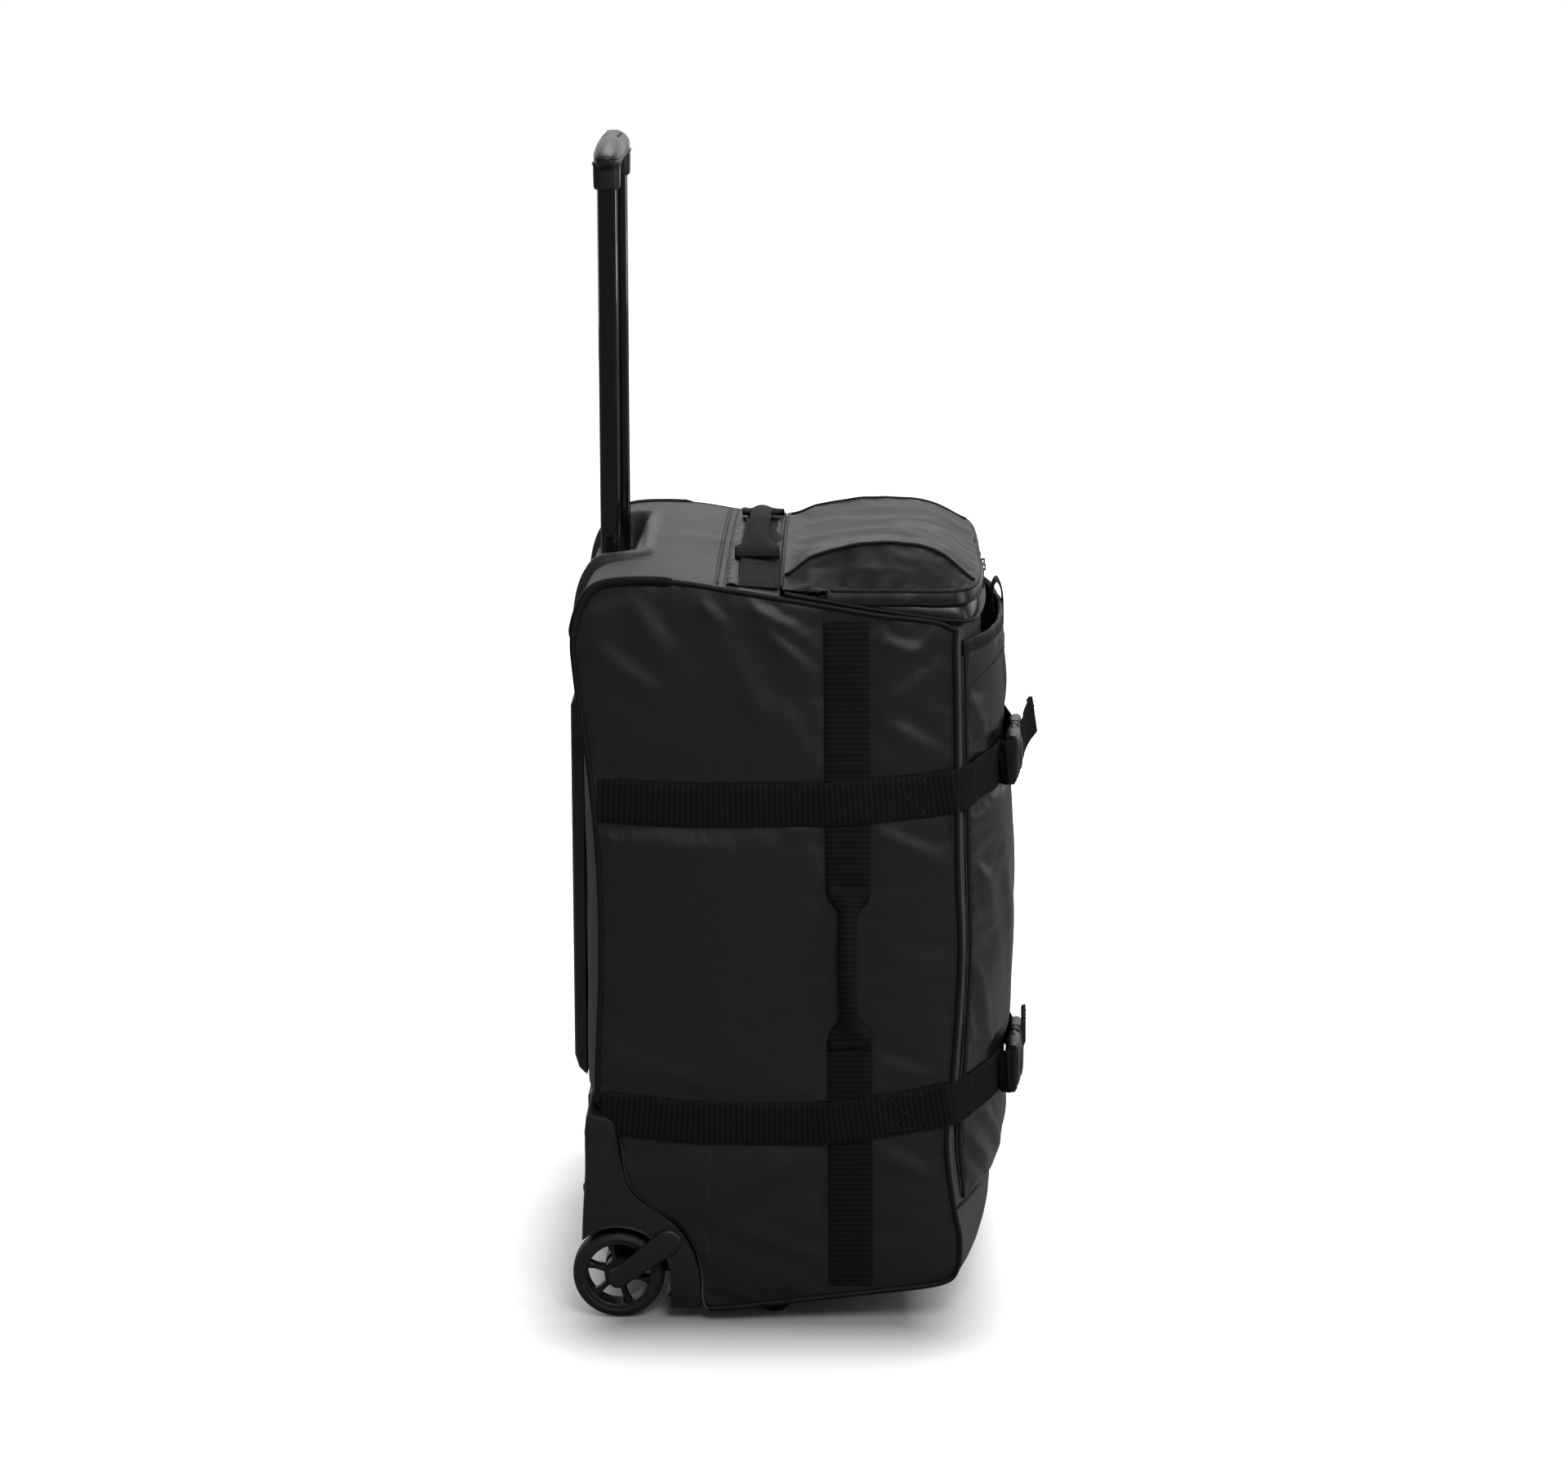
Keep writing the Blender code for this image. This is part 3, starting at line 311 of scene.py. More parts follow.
def floor_finish():
    """A white floor, with a soft shadow painted into its colour and its emission close round the bag's
    foot. To the camera it is whiter than in the light it throws back onto the bag.
    """
    made = Finish("floor", "Object")
    soft = made.noise(1.5, 3)
    seen = add_node(made.tree, "ShaderNodeLightPath").outputs["Is Camera Ray"]
    past = made.place
    for operation, other in (
        ("ADD", (0, -0.03, 0)), ("ABSOLUTE", (0, 0, 0)), ("SUBTRACT", FOOT_PAINTED_SHADOW), ("MAXIMUM", (0, 0, 0)),
    ):
        past = add_node(
            made.tree, "ShaderNodeVectorMath", {0: past, 1: other}, operation=operation
        ).outputs["Vector"]
    away = add_node(made.tree, "ShaderNodeVectorMath", {0: past}, operation="LENGTH").outputs["Value"]
    # Painted shadow: the floor's colour is halved at the bag's foot and back to full 9 cm out; light
    # bouncing off it sees 0.28 where the camera sees 0.92.
    shade = made.multiply(made.span(seen, 0.28, 0.92, 0, 1), made.span(away, 0.5, 1.0, 0.0, 0.09))
    colour = made.ramp(made.multiply(shade, made.span(soft, 0.98, 1.0)), grey(0), grey(1), 0, 1)
    # Emission for the camera only, which keeps the floor white but is weaker close to the foot: more
    # painted shadow.
    near, far = made.span(away, 0.0, 0.62, 0.0, 0.13), made.span(away, 0.0, 0.6, 0.3, 1.3)
    glow_with_painted_shadow = add_node(made.tree, "ShaderNodeMath", {0: near, 1: far}, operation="ADD").outputs["Value"]
    made.tree.links.new(made.multiply(glow_with_painted_shadow, seen), made.shader.inputs["Emission Strength"])
    return made.done(colour, made.span(soft, 0.75, 0.8), Emission_Color=(1, 1, 1, 1))


FABRIC = coated_fabric("coated_fabric", 0.009)
# A darker and matter copy of the coated fabric for the lid's side gussets; its darker colour is painted
# shade, and it is also rougher and less reflective.
FABRIC_MATT_PAINTED_SHADE = coated_fabric("coated_fabric_matt_painted_shade", 0.0055, -0.08, 1.33)
FABRIC_GLOSS = coated_fabric("coated_fabric_gloss", 0.009, 0.12)
BINDING = coated_fabric("binding", 0.0045, -0.1, 1.33)
WEB = webbing_finish("webbing", 0.0045)
PLASTIC = plastic_finish("moulded_plastic", 0.0095)
# Lighter than the other moulded plastic: painted light for the cup's lit front wall.
CUP_PLASTIC_PAINTED_LIGHT = plastic_finish("cup_plastic_painted_light", 0.024, 0.46)
BUCKLE_PLASTIC = plastic_finish("buckle_plastic", 0.012, 0.34, 700)
SPARE_PLASTIC = plastic_finish("sheet_plastic", 0.03, 0.5)
TUBE = tube_finish()
STEEL = steel_finish()
GUNMETAL = gunmetal_finish()
RUBBER = rubber_finish()
LINING = lining_finish()
THREAD = thread_finish()
GRIP_PLASTIC = plastic_finish("grip_plastic", 0.016, 0.36)
NYLON_COIL = plastic_finish("nylon_coil", 0.012, 0.35, 900)


# ---------------------------------------------------------------- mesh tools


def along(four, t):
    """A Catmull-Rom curve between the second and the third of four points."""
    before, start, end, after = four
    return 0.5 * (
        2 * start
        + (end - before) * t
        + (2 * before - 5 * start + 4 * end - after) * t * t
        + (3 * start - before - 3 * end + after) * t**3
    )


def evenly(first, last, steps):
    """Values at even steps from first to last."""
    return [first + (last - first) * k / steps for k in range(steps + 1)]


def crowded_ends(steps):
    """Values from -1 to 1, closer together towards both ends."""
    return [-math.cos(math.pi * k / steps) for k in range(steps + 1)]


def turns(count):
    """Evenly spaced angles once round."""
    return [2 * math.pi * k / count for k in range(count)]


def closed_curve(points, at):
    """The point of the smooth closed curve through points, at a place counted in points."""
    index = math.floor(at)
    four = [Vector(points[(index + k) % len(points)]) for k in (-1, 0, 1, 2)]
    return along(four, at - index)


def open_curve(points, count):
    """Evenly spaced points along the smooth open curve through points."""
    points = [Vector(p) for p in points]
    ends = [2 * points[0] - points[1]] + points + [2 * points[-1] - points[-2]]
    fine = []
    for i in range(len(points) - 1):
        fine += [along(ends[i:i + 4], k / 12) for k in range(12)]
    fine.append(points[-1])
    return even(fine, count)


def spread(values, path, count):
    """Values given at a path's points, read at even steps along it."""
    marks = [0.0]
    for a, b in zip(path, path[1:]):
        marks.append(marks[-1] + (b - a).length)
    made = []
    at = 0
    for k in range(count):
        wanted = marks[-1] * k / (count - 1)
        while at < len(path) - 2 and marks[at + 1] < wanted:
            at += 1
        gap = max(1e-9, marks[at + 1] - marks[at])
        made.append(values[at].lerp(values[at + 1], min(1.0, max(0.0, (wanted - marks[at]) / gap))))
    return made


def even(points, count):
    """Evenly spaced points along a fine polyline."""
    return spread(points, points, count)


def run_at(path, k):
    """The way a path runs at one of its points."""
    return path[min(len(path) - 1, k + 1)] - path[max(0, k - 1)]


def sideways(path, k):
    """The level way across a path at one of its points."""
    run = run_at(path, k)
    return Vector((run.y, -run.x, 0)).normalized()


def interpolate(table, at):
    """The value at a place in a table of (place, value) pairs in rising order."""
    if at <= table[0][0]:
        return table[0][1]
    for (low, first), (high, second) in zip(table, table[1:]):
        if at <= high:
            return first + (second - first) * (at - low) / (high - low)
    return table[-1][1]


def eased(table, at, reach):
    """A table's value smoothed over a distance either side."""
    return sum(interpolate(table, at + reach * k / 3) for k in range(-3, 4)) / 7


def smooth_step(low, high, at):
    share = min(1.0, max(0.0, (at - low) / (high - low)))
    return share * share * (3 - 2 * share)


def put(name, mesh, material, body, more=()):
    """Names a mesh as a piece of its own that rides on a body."""
    made = bpy.data.objects.new(name, mesh)
    bpy.context.scene.collection.objects.link(made)
    mesh.materials.append(material)
    for extra in more:
        mesh.materials.append(extra)
    mesh.shade_smooth()
    if body:
        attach(made, body)
    return made


def grid_mesh(name, points, loop_u=False, loop_v=False, skip=None, flip=False):
    """A mesh over rows of points in millimetres, its UVs in metres along both ways."""
    points = np.array(points, float)
    rows, columns = points.shape[:2]
    mesh = bpy.data.meshes.new(name)
    last_r = rows if loop_v else rows - 1
    last_c = columns if loop_u else columns - 1
    wrapped = points
    if loop_u:
        wrapped = np.concatenate([wrapped, wrapped[:, :1]], axis=1)
    if loop_v:
        wrapped = np.concatenate([wrapped, wrapped[:1]], axis=0)
    step_u = np.linalg.norm(np.diff(wrapped, axis=1), axis=2).mean(axis=0)
    step_v = np.linalg.norm(np.diff(wrapped, axis=0), axis=2).mean(axis=1)
    u = np.concatenate([[0], np.cumsum(step_u)]) * MM
    v = np.concatenate([[0], np.cumsum(step_v)]) * MM
    faces = []
    uvs = []
    for r in range(last_r):
        for c in range(last_c):
            if skip and skip(r, c):
                continue
            ring = [(r, c), (r, c + 1), (r + 1, c + 1), (r + 1, c)]
            if flip:
                ring.reverse()
            faces.append([(a % rows) * columns + b % columns for a, b in ring])
            uvs += [(u[b], v[a]) for a, b in ring]
    mesh.from_pydata((points.reshape(-1, 3) * MM).tolist(), [], faces)
    layer = mesh.uv_layers.new(name="UVMap")
    layer.data.foreach_set("uv", np.array(uvs, np.float32).ravel())
    return mesh


def close_up(mesh):
    """Fills a mesh's open ends, if it has any, and turns its faces outward."""
    work = bmesh.new()
    work.from_mesh(mesh)
    borders = [edge for edge in work.edges if edge.is_boundary]
    if borders:
        bmesh.ops.holes_fill(work, edges=borders, sides=0)
    bmesh.ops.recalc_face_normals(work, faces=work.faces)
    work.to_mesh(mesh)
    work.free()


def sweep(name, path, section, out, material, body):
    """A section swept along a path. section(k, share) gives (across, outward) points, and out is
    the outward way, or a list of it at each of the path's points."""
    path = [Vector(p) for p in path]
    rows = []
    for k, point in enumerate(path):
        run = run_at(path, k).normalized()
        outward = Vector(out[k] if isinstance(out, list) else out)
        outward = (outward - run * outward.dot(run)).normalized()
        across = outward.cross(run)
        ring = section(k, k / (len(path) - 1))
        rows.append([point + across * a + outward * b for a, b in ring])
    mesh = grid_mesh(name, rows, loop_u=True)
    close_up(mesh)
    return put(name, mesh, material, body)


def round_section(radius, count=12, squash=1.0):
    return [(radius * math.cos(t), radius * squash * math.sin(t)) for t in turns(count)]


def piping(name, path, radius, material, body, out=(1, 0, 0)):
    section = round_section(radius)
    return sweep(name, path, lambda k, share: section, out, material, body)


RIB = 2.4  # the webbing's rib pitch


def band_section(width, thick, rise):
    """A webbing's cross-section: flat, with soft selvedges and a rib standing up by rise."""
    half = width / 2
    places = (-1, -0.985, -0.95, -0.6, 0, 0.6, 0.95, 0.985, 1)
    top = []
    for place in places:
        edge = 1 - abs(place) ** 40
        selvedge = 0.12 if abs(place) > 0.9 else 0.0
        top.append((place * half, thick * (0.5 * edge) + rise * edge + selvedge))
    bottom = [(place * half, -thick / 2 * (1 - abs(place) ** 40)) for place in places]
    return top + list(reversed(bottom))


def band(name, path, out, body, width=WEBBING, thick=THICK, rib=RIB):
    """Webbing along a path, with its cross ribs modelled; out is as sweep takes it."""
    length = sum((b - a).length for a, b in zip(path, path[1:]))
    count = max(8, int(length / ((rib or RIB) / 4)))
    if isinstance(out, list):
        out = smooth_list(spread([o.normalized() for o in out], path, count), 6)

    def section(k, share):
        return band_section(width, thick, 0.18 * math.sin(math.pi / 2 * k) if rib else 0)

    return sweep(name, even(path, count), section, out, WEB, body)


def smooth_list(items, passes):
    for _ in range(passes):
        inner = [(a + b + c) / 3 for a, b, c in zip(items, items[1:], items[2:])]
        items = [items[0]] + inner + [items[-1]]
    return items


STITCH_PITCH = 3.4
STITCH_LENGTH = 2.3
THREAD_RADIUS = 0.38


class Stitching:
    """Rows of thread on one body, joined into one piece."""

    def __init__(self, name, body):
        self.name, self.body = name, body
        self.points = []
        self.faces = []

    def row(self, path, out):
        path = [Vector(p) for p in path]
        total = sum((b - a).length for a, b in zip(path, path[1:]))
        count = max(2, int(total / STITCH_PITCH))
        spots = even(path, count * 2 + 1)
        for k in range(count):
            middle = spots[2 * k + 1]
            run = (spots[2 * k + 2] - spots[2 * k]).normalized()
            outward = Vector(out(middle) if callable(out) else out).normalized()
            self.stitch(middle, run, run.cross(outward).normalized(), outward)

    def stitch(self, middle, run, side, outward):
        first = len(self.points)
        for share, size in ((-0.5, 0.35), (-0.32, 1), (0.32, 1), (0.5, 0.35)):
            sink = -0.25 if abs(share) == 0.5 else 0.1
            for turn in range(6):
                angle = math.pi * turn / 3
                self.points.append(
                    middle + run * share * STITCH_LENGTH
                    + side * THREAD_RADIUS * size * math.cos(angle)
                    + outward * (THREAD_RADIUS * size * math.sin(angle) + sink)
                )
        for ring in range(3):
            for turn in range(6):
                a = first + ring * 6 + turn
                b = first + ring * 6 + (turn + 1) % 6
                self.faces.append((a, b, b + 6, a + 6))
        self.faces.append(tuple(range(first + 5, first - 1, -1)))
        self.faces.append(tuple(range(first + 18, first + 24)))

    def sew(self):
        mesh = bpy.data.meshes.new(self.name)
        mesh.from_pydata([tuple(p * MM) for p in self.points], [], self.faces)
        put(self.name, mesh, THREAD, self.body)


def tree_of(*objects):
    """A search tree over the final surfaces of pieces, in millimetres."""
    points = []
    faces = []
    graph = bpy.context.evaluated_depsgraph_get()
    for item in objects:
        shape = item.evaluated_get(graph).to_mesh()
        first = len(points)
        points += [item.matrix_world @ v.co / MM for v in shape.vertices]
        faces += [[first + i for i in polygon.vertices] for polygon in shape.polygons]
        item.evaluated_get(graph).to_mesh_clear()
    return BVHTree.FromPolygons(points, faces)


def on_surface(tree, point, outward, lift, reach=40):
    """The point moved along outward to lie lift above the surface."""
    outward = Vector(outward).normalized()
    hit = tree.ray_cast(Vector(point) + outward * reach, -outward, reach * 2)
    return hit[0] + outward * lift if hit[0] else Vector(point)


def on_front(tree, x, z, lift):
    """The point of the bag's front at that place, raised by lift."""
    return on_surface(tree, (x, pocket_y(x, z), z), (0, -1, 0), lift, 30)


def apply_modifiers(item):
    """Bakes a piece's modifiers into its mesh."""
    graph = bpy.context.evaluated_depsgraph_get()
    graph.update()
    mesh = bpy.data.meshes.new_from_object(item.evaluated_get(graph), depsgraph=graph)
    item.modifiers.clear()
    item.data = mesh


def thicken(item, thickness, inner=None):
    """Gives a sheet its thickness inward, and a lining if inner names a material's index."""
    change = item.modifiers.new("thickness", "SOLIDIFY")
    change.thickness = thickness * MM
    change.offset = -1
    if inner:
        change.material_offset = inner
        change.material_offset_rim = inner


def soften(item):
    change = item.modifiers.new("soften", "SUBSURF")
    change.levels = 1
    change.render_levels = 1


def wobble(x, y, z, size, seed=0.0):
    """Smooth noise from -1 to 1 with features of that size."""
    return noise.noise(Vector((x / size + seed, y / size, z / size)))


def crease(point, start, end, width, depth):
    """A soft fold's height at a point: a ridge with a hollow beside it, fading at its ends."""
    ax, ay = start
    bx, by = end
    px, py = point
    dx, dy = bx - ax, by - ay
    length = math.hypot(dx, dy)
    share = ((px - ax) * dx + (py - ay) * dy) / (length * length)
    if not -0.1 < share < 1.1:
        return 0.0
    off = ((px - ax) * dy - (py - ay) * dx) / length / width
    if abs(off) > 3.5:
        return 0.0
    fade = max(0.0, math.sin(math.pi * min(1.0, max(0.0, (share + 0.1) / 1.2)))) ** 0.8
    return depth * fade * (math.exp(-off * off) - 0.55 * math.exp(-((off - 1.5) ** 2)))


# ---------------------------------------------------------------- the bag's surfaces


def crown(x, power=CROWN):
    """The share of the middle's bulge at a place across the bag."""
    return max(0.0, 1 - abs(x / HALF_WIDTH) ** power)


def dome(x, half):
    return max(0.0, 1 - (x / half) ** 2)


def side_bulge(y, z):
    reach = ((abs(y - 15) / 150) ** 4 + (abs(z - 330) / 300) ** 4) ** 0.25
    return SIDE_BULGE * max(0.0, 1 - reach**2)


def body_point(x, at):
    """A point of the bag's skin, at a place counted in outline points."""
    share = crown(x, BACK_CROWN if at < 6.5 else CROWN)
    y, z = closed_curve(SIDE_OUTLINE, at).lerp(closed_curve(MIDDLE_OUTLINE, at), share)
    return Vector((x, y, z))


def seam_path(sign, first, last, out=0.0, per_point=STEPS):
    """The side seam between two places of the outline."""
    places = evenly(first, last, int((last - first) * per_point))
    line = [closed_curve(SIDE_OUTLINE, at) for at in places]
    return [Vector((sign * (HALF_WIDTH + out), y, z)) for y, z in line]


def pocket_y(x, z):
    side = eased(POCKET_SIDE, z, 18)
    middle = eased(POCKET_MIDDLE, z, 18)
    return side + (middle - side) * crown(x)


def lid_front(x):
    share = max(0.0, 1 - abs(x / LID_HALF_WIDTH) ** LID_ROUND) ** (1 / LID_ROUND)
    return LID_CORNER_Y + (LID_FRONT_Y - LID_CORNER_Y) * share


def lid_side_fall(x):
    """The share of the lid's height left in its side gussets."""
    past = max(0.0, abs(x) - LID_SEAM) / (LID_HALF_WIDTH - LID_SEAM)
    return max(0.0, 1 - 0.86 * past - 0.14 * past**5)


def lid_height(x, share):
    slump = 1 - 0.38 * smooth_step(-LID_SEAM, LID_SEAM, x)
    height = eased(LID_CREST, share, 0.04) * lid_side_fall(x) * slump
    back = max(1.0, top_surface(x, 16.5) - RIM_Z + 0.8)
    return height + (back - height) * smooth_step(0.16, 0, share)


def top_surface(x, y):
    """The height of the bag's top behind the lid."""
    low = interpolate([(14, 642), (60, 649), (108, 656), (158, 655)], y)
    high = interpolate([(14, 660), (60, 656), (108, 661), (160, 657)], y)
    return low + (high - low) * crown(x)


# ---------------------------------------------------------------- cloth


CLOTH_FRAMES = 18
CLOTH_STIFFNESS = 12.0
CLOTH_BENDING = 1.5
cloths = []


def make_cloth(item, held, pressure, slack, cap):
    """Notes a panel for the cloth simulation. held gives each vertex's pinning, and cap the most
    that a vertex may move."""
    group = item.vertex_groups.new(name="held")
    for index, weight in enumerate(held):
        if weight > 0:
            group.add([index], weight, "REPLACE")
    cloths.append((item, pressure, slack, cap))


def run_cloths():
    """Simulates every noted panel at once and keeps the result, within each panel's cap."""
    scene = bpy.context.scene
    for item, pressure, slack, _ in cloths:
        change = item.modifiers.new("cloth", "CLOTH")
        settings = change.settings
        settings.quality = 4
        settings.mass = 0.25
        settings.tension_stiffness = CLOTH_STIFFNESS
        settings.compression_stiffness = CLOTH_STIFFNESS
        settings.shear_stiffness = CLOTH_STIFFNESS / 3
        settings.bending_stiffness = CLOTH_BENDING
        settings.use_pressure = True
        settings.uniform_pressure_force = pressure
        settings.shrink_min = -slack
        settings.vertex_group_mass = "held"
        settings.effector_weights.gravity = 0
        settings.air_damping = 4
        change.collision_settings.use_collision = False
        change.point_cache.frame_start = 1
        change.point_cache.frame_end = CLOTH_FRAMES
    for step in range(1, CLOTH_FRAMES + 1):
        scene.frame_set(step)
    graph = bpy.context.evaluated_depsgraph_get()
    for item, _, _, cap in cloths:
        count = len(item.data.vertices)
        before = np.zeros(count * 3, np.float32)
        item.data.vertices.foreach_get("co", before)
        after = np.zeros(count * 3, np.float32)
        item.evaluated_get(graph).data.vertices.foreach_get("co", after)
        move = (after - before).reshape(-1, 3)
        length = np.linalg.norm(move, axis=1, keepdims=True)
        limit = cap * MM
        move *= np.tanh(length / limit) * limit / np.maximum(length, 1e-9)
        item.modifiers.clear()
        item.data.vertices.foreach_set("co", (before.reshape(-1, 3) + move).ravel())
        item.data.update()
    scene.frame_set(1)


# ---------------------------------------------------------------- body panels


def chain(first, last, count):
    """Evenly spaced (y, z) points along the side outline."""
    return even([closed_curve(SIDE_OUTLINE, at) for at in evenly(first, last, 240)], count)


# Soft folds of the side panels, as start, end, width and depth
SIDE_CREASES = [
    ((52, 644), (-12, 602), 5, 1.9), ((36, 634), (-16, 612), 4, 1.2), ((34, 620), (-10, 580), 6, 1.6),
    ((90, 646), (62, 618), 6, 1.3), ((140, 640), (112, 596), 9, 1.4), ((172, 600), (120, 560), 9, 1.0),
    ((-112, 612), (-66, 570), 6, 1.5), ((-124, 590), (-72, 545), 7, 1.2),
    ((-62, 606), (-112, 596), 5, 1.0),
    ((-66, 540), (-126, 505), 8, 1.2), ((20, 560), (-14, 500), 9, 1.1), ((60, 600), (10, 505), 12, 1.0),
    ((160, 440), (40, 425), 9, 0.9), ((-70, 440), (-126, 415), 8, 1.0), ((-126, 330), (-70, 300), 9, 0.8),
    ((-68, 240), (-126, 222), 6, 1.0), ((150, 240), (60, 215), 9, 0.8), ((-70, 160), (-122, 130), 7, 0.9),
    ((0, 160), (60, 110), 9, 0.8), ((-20, 60), (60, 90), 8, 0.7),
]


def strap_z(table, y):
    return eased(table, y, 12)


def side_held(y, z, u, v):
    """How firmly a side panel is held: at its seams, and under its webbing and straps."""
    held = 1.0 if min(u, 1 - u, v, 1 - v) < 1e-6 else 0.0
    if abs(y - SIDE_WEBBING_Y) < 20:
        held = max(held, 0.75)
    for table in STRAPS.values():
        if abs(z - strap_z(table, y)) < 20:
            held = max(held, 0.75)
    return held


def side_panel(name, sign):
    """A side of the bag: cloth held at its seams and under the webbing."""
    columns, rows = 72, 116
    back = chain(0, BACK_TOP, rows)
    top = chain(BACK_TOP, FRONT_TOP, columns)
    front = list(reversed(chain(FRONT_TOP, FRONT_FOOT, rows)))
    bottom = list(reversed(chain(FRONT_FOOT, WAY_ROUND, columns)))
    points = []
    held = []
    for r in range(rows):
        v = r / (rows - 1)
        line = []
        for c in range(columns):
            u = c / (columns - 1)
            spot = (
                back[r] * (1 - u) + front[r] * u + bottom[c] * (1 - v) + top[c] * v
                - (back[0] * (1 - u) * (1 - v) + front[0] * u * (1 - v)
                   + back[-1] * (1 - u) * v + front[-1] * u * v)
            )
            y, z = spot
            edge = min(u, 1 - u, v * 1.7, (1 - v) * 1.7)
            free = smooth_step(0, 0.06, edge)
            raised = 1.9 * sum(crease((y, z), *fold) for fold in SIDE_CREASES) * free
            raised += free * (1.0 * wobble(0, y, z, 70, sign * 3.1) + 0.5 * wobble(0, y, z, 31, 7.7))
            pucker = math.exp(-edge * 28) * smooth_step(0, 0.012, edge)
            raised += 0.9 * pucker * wobble(0, y * 2.2, z * 2.2, 26, 5.5)
            grip = side_held(y, z, u, v)
            for table in STRAPS.values():
                raised *= 0.2 + 0.8 * smooth_step(21, 40, abs(z - strap_z(table, y)))
            raised *= 1 - 0.5 * (grip > 0)
            x = sign * (HALF_WIDTH + side_bulge(y, z) + raised)
            line.append((x, y, z))
            held.append(grip)
        points.append(line)
    mesh = grid_mesh(name, points, flip=sign > 0)
    item = put(name, mesh, FABRIC, None, (LINING,))
    make_cloth(item, held, 2.2, 0.008, 4)
    return item


def wrap_panel(name, first, last, columns, raised, rows_per_point=STEPS, skip=None):
    """A panel across the bag between two places of the outline. raised gets x, y, z and the
    panel's shares u and v, and skip gets two corners of a patch."""
    rows = int((last - first) * rows_per_point) + 1
    points = []
    for r in range(rows):
        v = r / (rows - 1)
        at = first + (last - first) * v
        line = []
        for c in range(columns):
            u = c / (columns - 1)
            x = HALF_WIDTH * (2 * u - 1)
            spot = body_point(x, at)
            run = body_point(x, at + 0.05) - body_point(x, at - 0.05)
            wide = body_point(min(HALF_WIDTH, x + 2), at) - body_point(max(-HALF_WIDTH, x - 2), at)
            outward = wide.cross(run).normalized()
            line.append(spot + outward * raised(x, spot.y, spot.z, u, v))
        points.append(line)

    def skipped(r, c):
        return skip(points[r][c], points[r + 1][c + 1])

    mesh = grid_mesh(name, points, skip=skipped if skip else None)
    return put(name, mesh, FABRIC, None, (LINING,))


def edge_share(u, v):
    return min(u, 1 - u, v, 1 - v)


def top_raised(x, y, z, u, v):
    free = smooth_step(0, 0.05, edge_share(u, v))
    long_folds = 0.9 * wobble(x * 0.9, y * 0.3, 0, 26, 2.0) + 1.1 * wobble(x, y * 0.5, 0, 60, 4.4)
    return free * long_folds


def plain_raised(x, y, z, u, v):
    free = smooth_step(0, 0.04, edge_share(u, v))
    return free * (0.8 * wobble(x, y, z, 60, 1.3) + 0.4 * wobble(x, y, z, 24, 9.1))


def in_cup(first, second):
    """Whether a patch of the skin is where the handle cup goes."""
    return (
        max(abs(first[0]), abs(second[0])) < 98
        and min(first[1], second[1]) > 127
        and min(first[2], second[2]) > 617
    )


def body_panels():
    made = [side_panel("side_panel_" + name, sign) for name, sign in SIDES]
    back = wrap_panel("back_panel", 0, BACK_TOP, 56, plain_raised, skip=in_cup)
    top = wrap_panel("top_panel", BACK_TOP, LID_BACK, 76, top_raised, 10, in_cup)
    front = wrap_panel("front_panel", FRONT_TOP, FRONT_FOOT, 60, plain_raised)
    bottom = wrap_panel("bottom_panel", FRONT_FOOT, WAY_ROUND, 40, plain_raised)
    return made + [back, top, front, bottom]


# ---------------------------------------------------------------- webbing, straps and handles


FRONT_SEAM = [(165, -127), (230, -132), (330, -137), (413, -134), (590, -130)]
BESIDE = 200  # how far out the search for the side's surface starts
STRAP_STEPS = 53  # a strap's steps along the side


def side_webbing_y(z):
    """The vertical webbing leans a little forward as it goes down."""
    return -39 - 6.5 * (628 - z) / 595


def side_webbing(name, sign, skin):
    """The vertical webbing, in two lengths: the handle is sewn on between them."""
    for part, top, low in (("upper", 622, 391), ("lower", 260, 36)):
        path = []
        for z in evenly(top, low, 25):
            spot = (sign * BESIDE, side_webbing_y(z), z)
            path.append(on_surface(skin, spot, (sign, 0, 0), THICK / 2 + 0.4))
        path = smooth_list(path, 3)
        made = band(f"side_webbing_{part}_{name}", path, (sign, 0, 0), "root")
        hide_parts("side_webbing_" + name)


def strap_path(sign, table, skin, end_x):
    """A compression strap's line along the side and round onto the front."""
    lift = 1.5
    path = []
    outs = []
    for y in evenly(170, -122, STRAP_STEPS):
        over = 1.9 * smooth_step(30, 21, abs(y - side_webbing_y(strap_z(table, y))))
        z = strap_z(table, y)
        tuck = 1.2 * smooth_step(150, 166, y)
        spot = on_surface(skin, (sign * BESIDE, y, z), (sign, 0, 0), lift + over - tuck)
        spot.x = sign * min(abs(spot.x), HALF_WIDTH + 2.4 + 0.12 * (170 - y))
        path.append(spot)
        outs.append(Vector((sign, 0, 0)))
    z = strap_z(table, -134)
    seam = interpolate(FRONT_SEAM, z)
    for x, y in ((4.4, seam + 1), (3.6, seam - 3.6), (-1.5, seam - 5.8), (-7, seam - 7.2)):
        path.append(Vector((sign * (HALF_WIDTH + x), y, z)))
        outs.append(Vector((sign * (x + 8), -8 + x, 0)).normalized())
    for x in evenly(174, end_x, 29):
        y = pocket_y(x, z)
        z = strap_z(table, y)
        hit = on_front(skin, sign * x, z, lift + 0.6 + 2.2 * smooth_step(160, 173, x))
        path.append(hit)
        slope = pocket_y(x + 1, z) - pocket_y(x - 1, z)
        outs.append(Vector((sign * slope / 2, -1, 0)))
    return smooth_list(path, 2), smooth_list(outs, 10)


BOX_START, BOX_END = -108, -74  # the strap's crossed box of stitches on the side, along Y


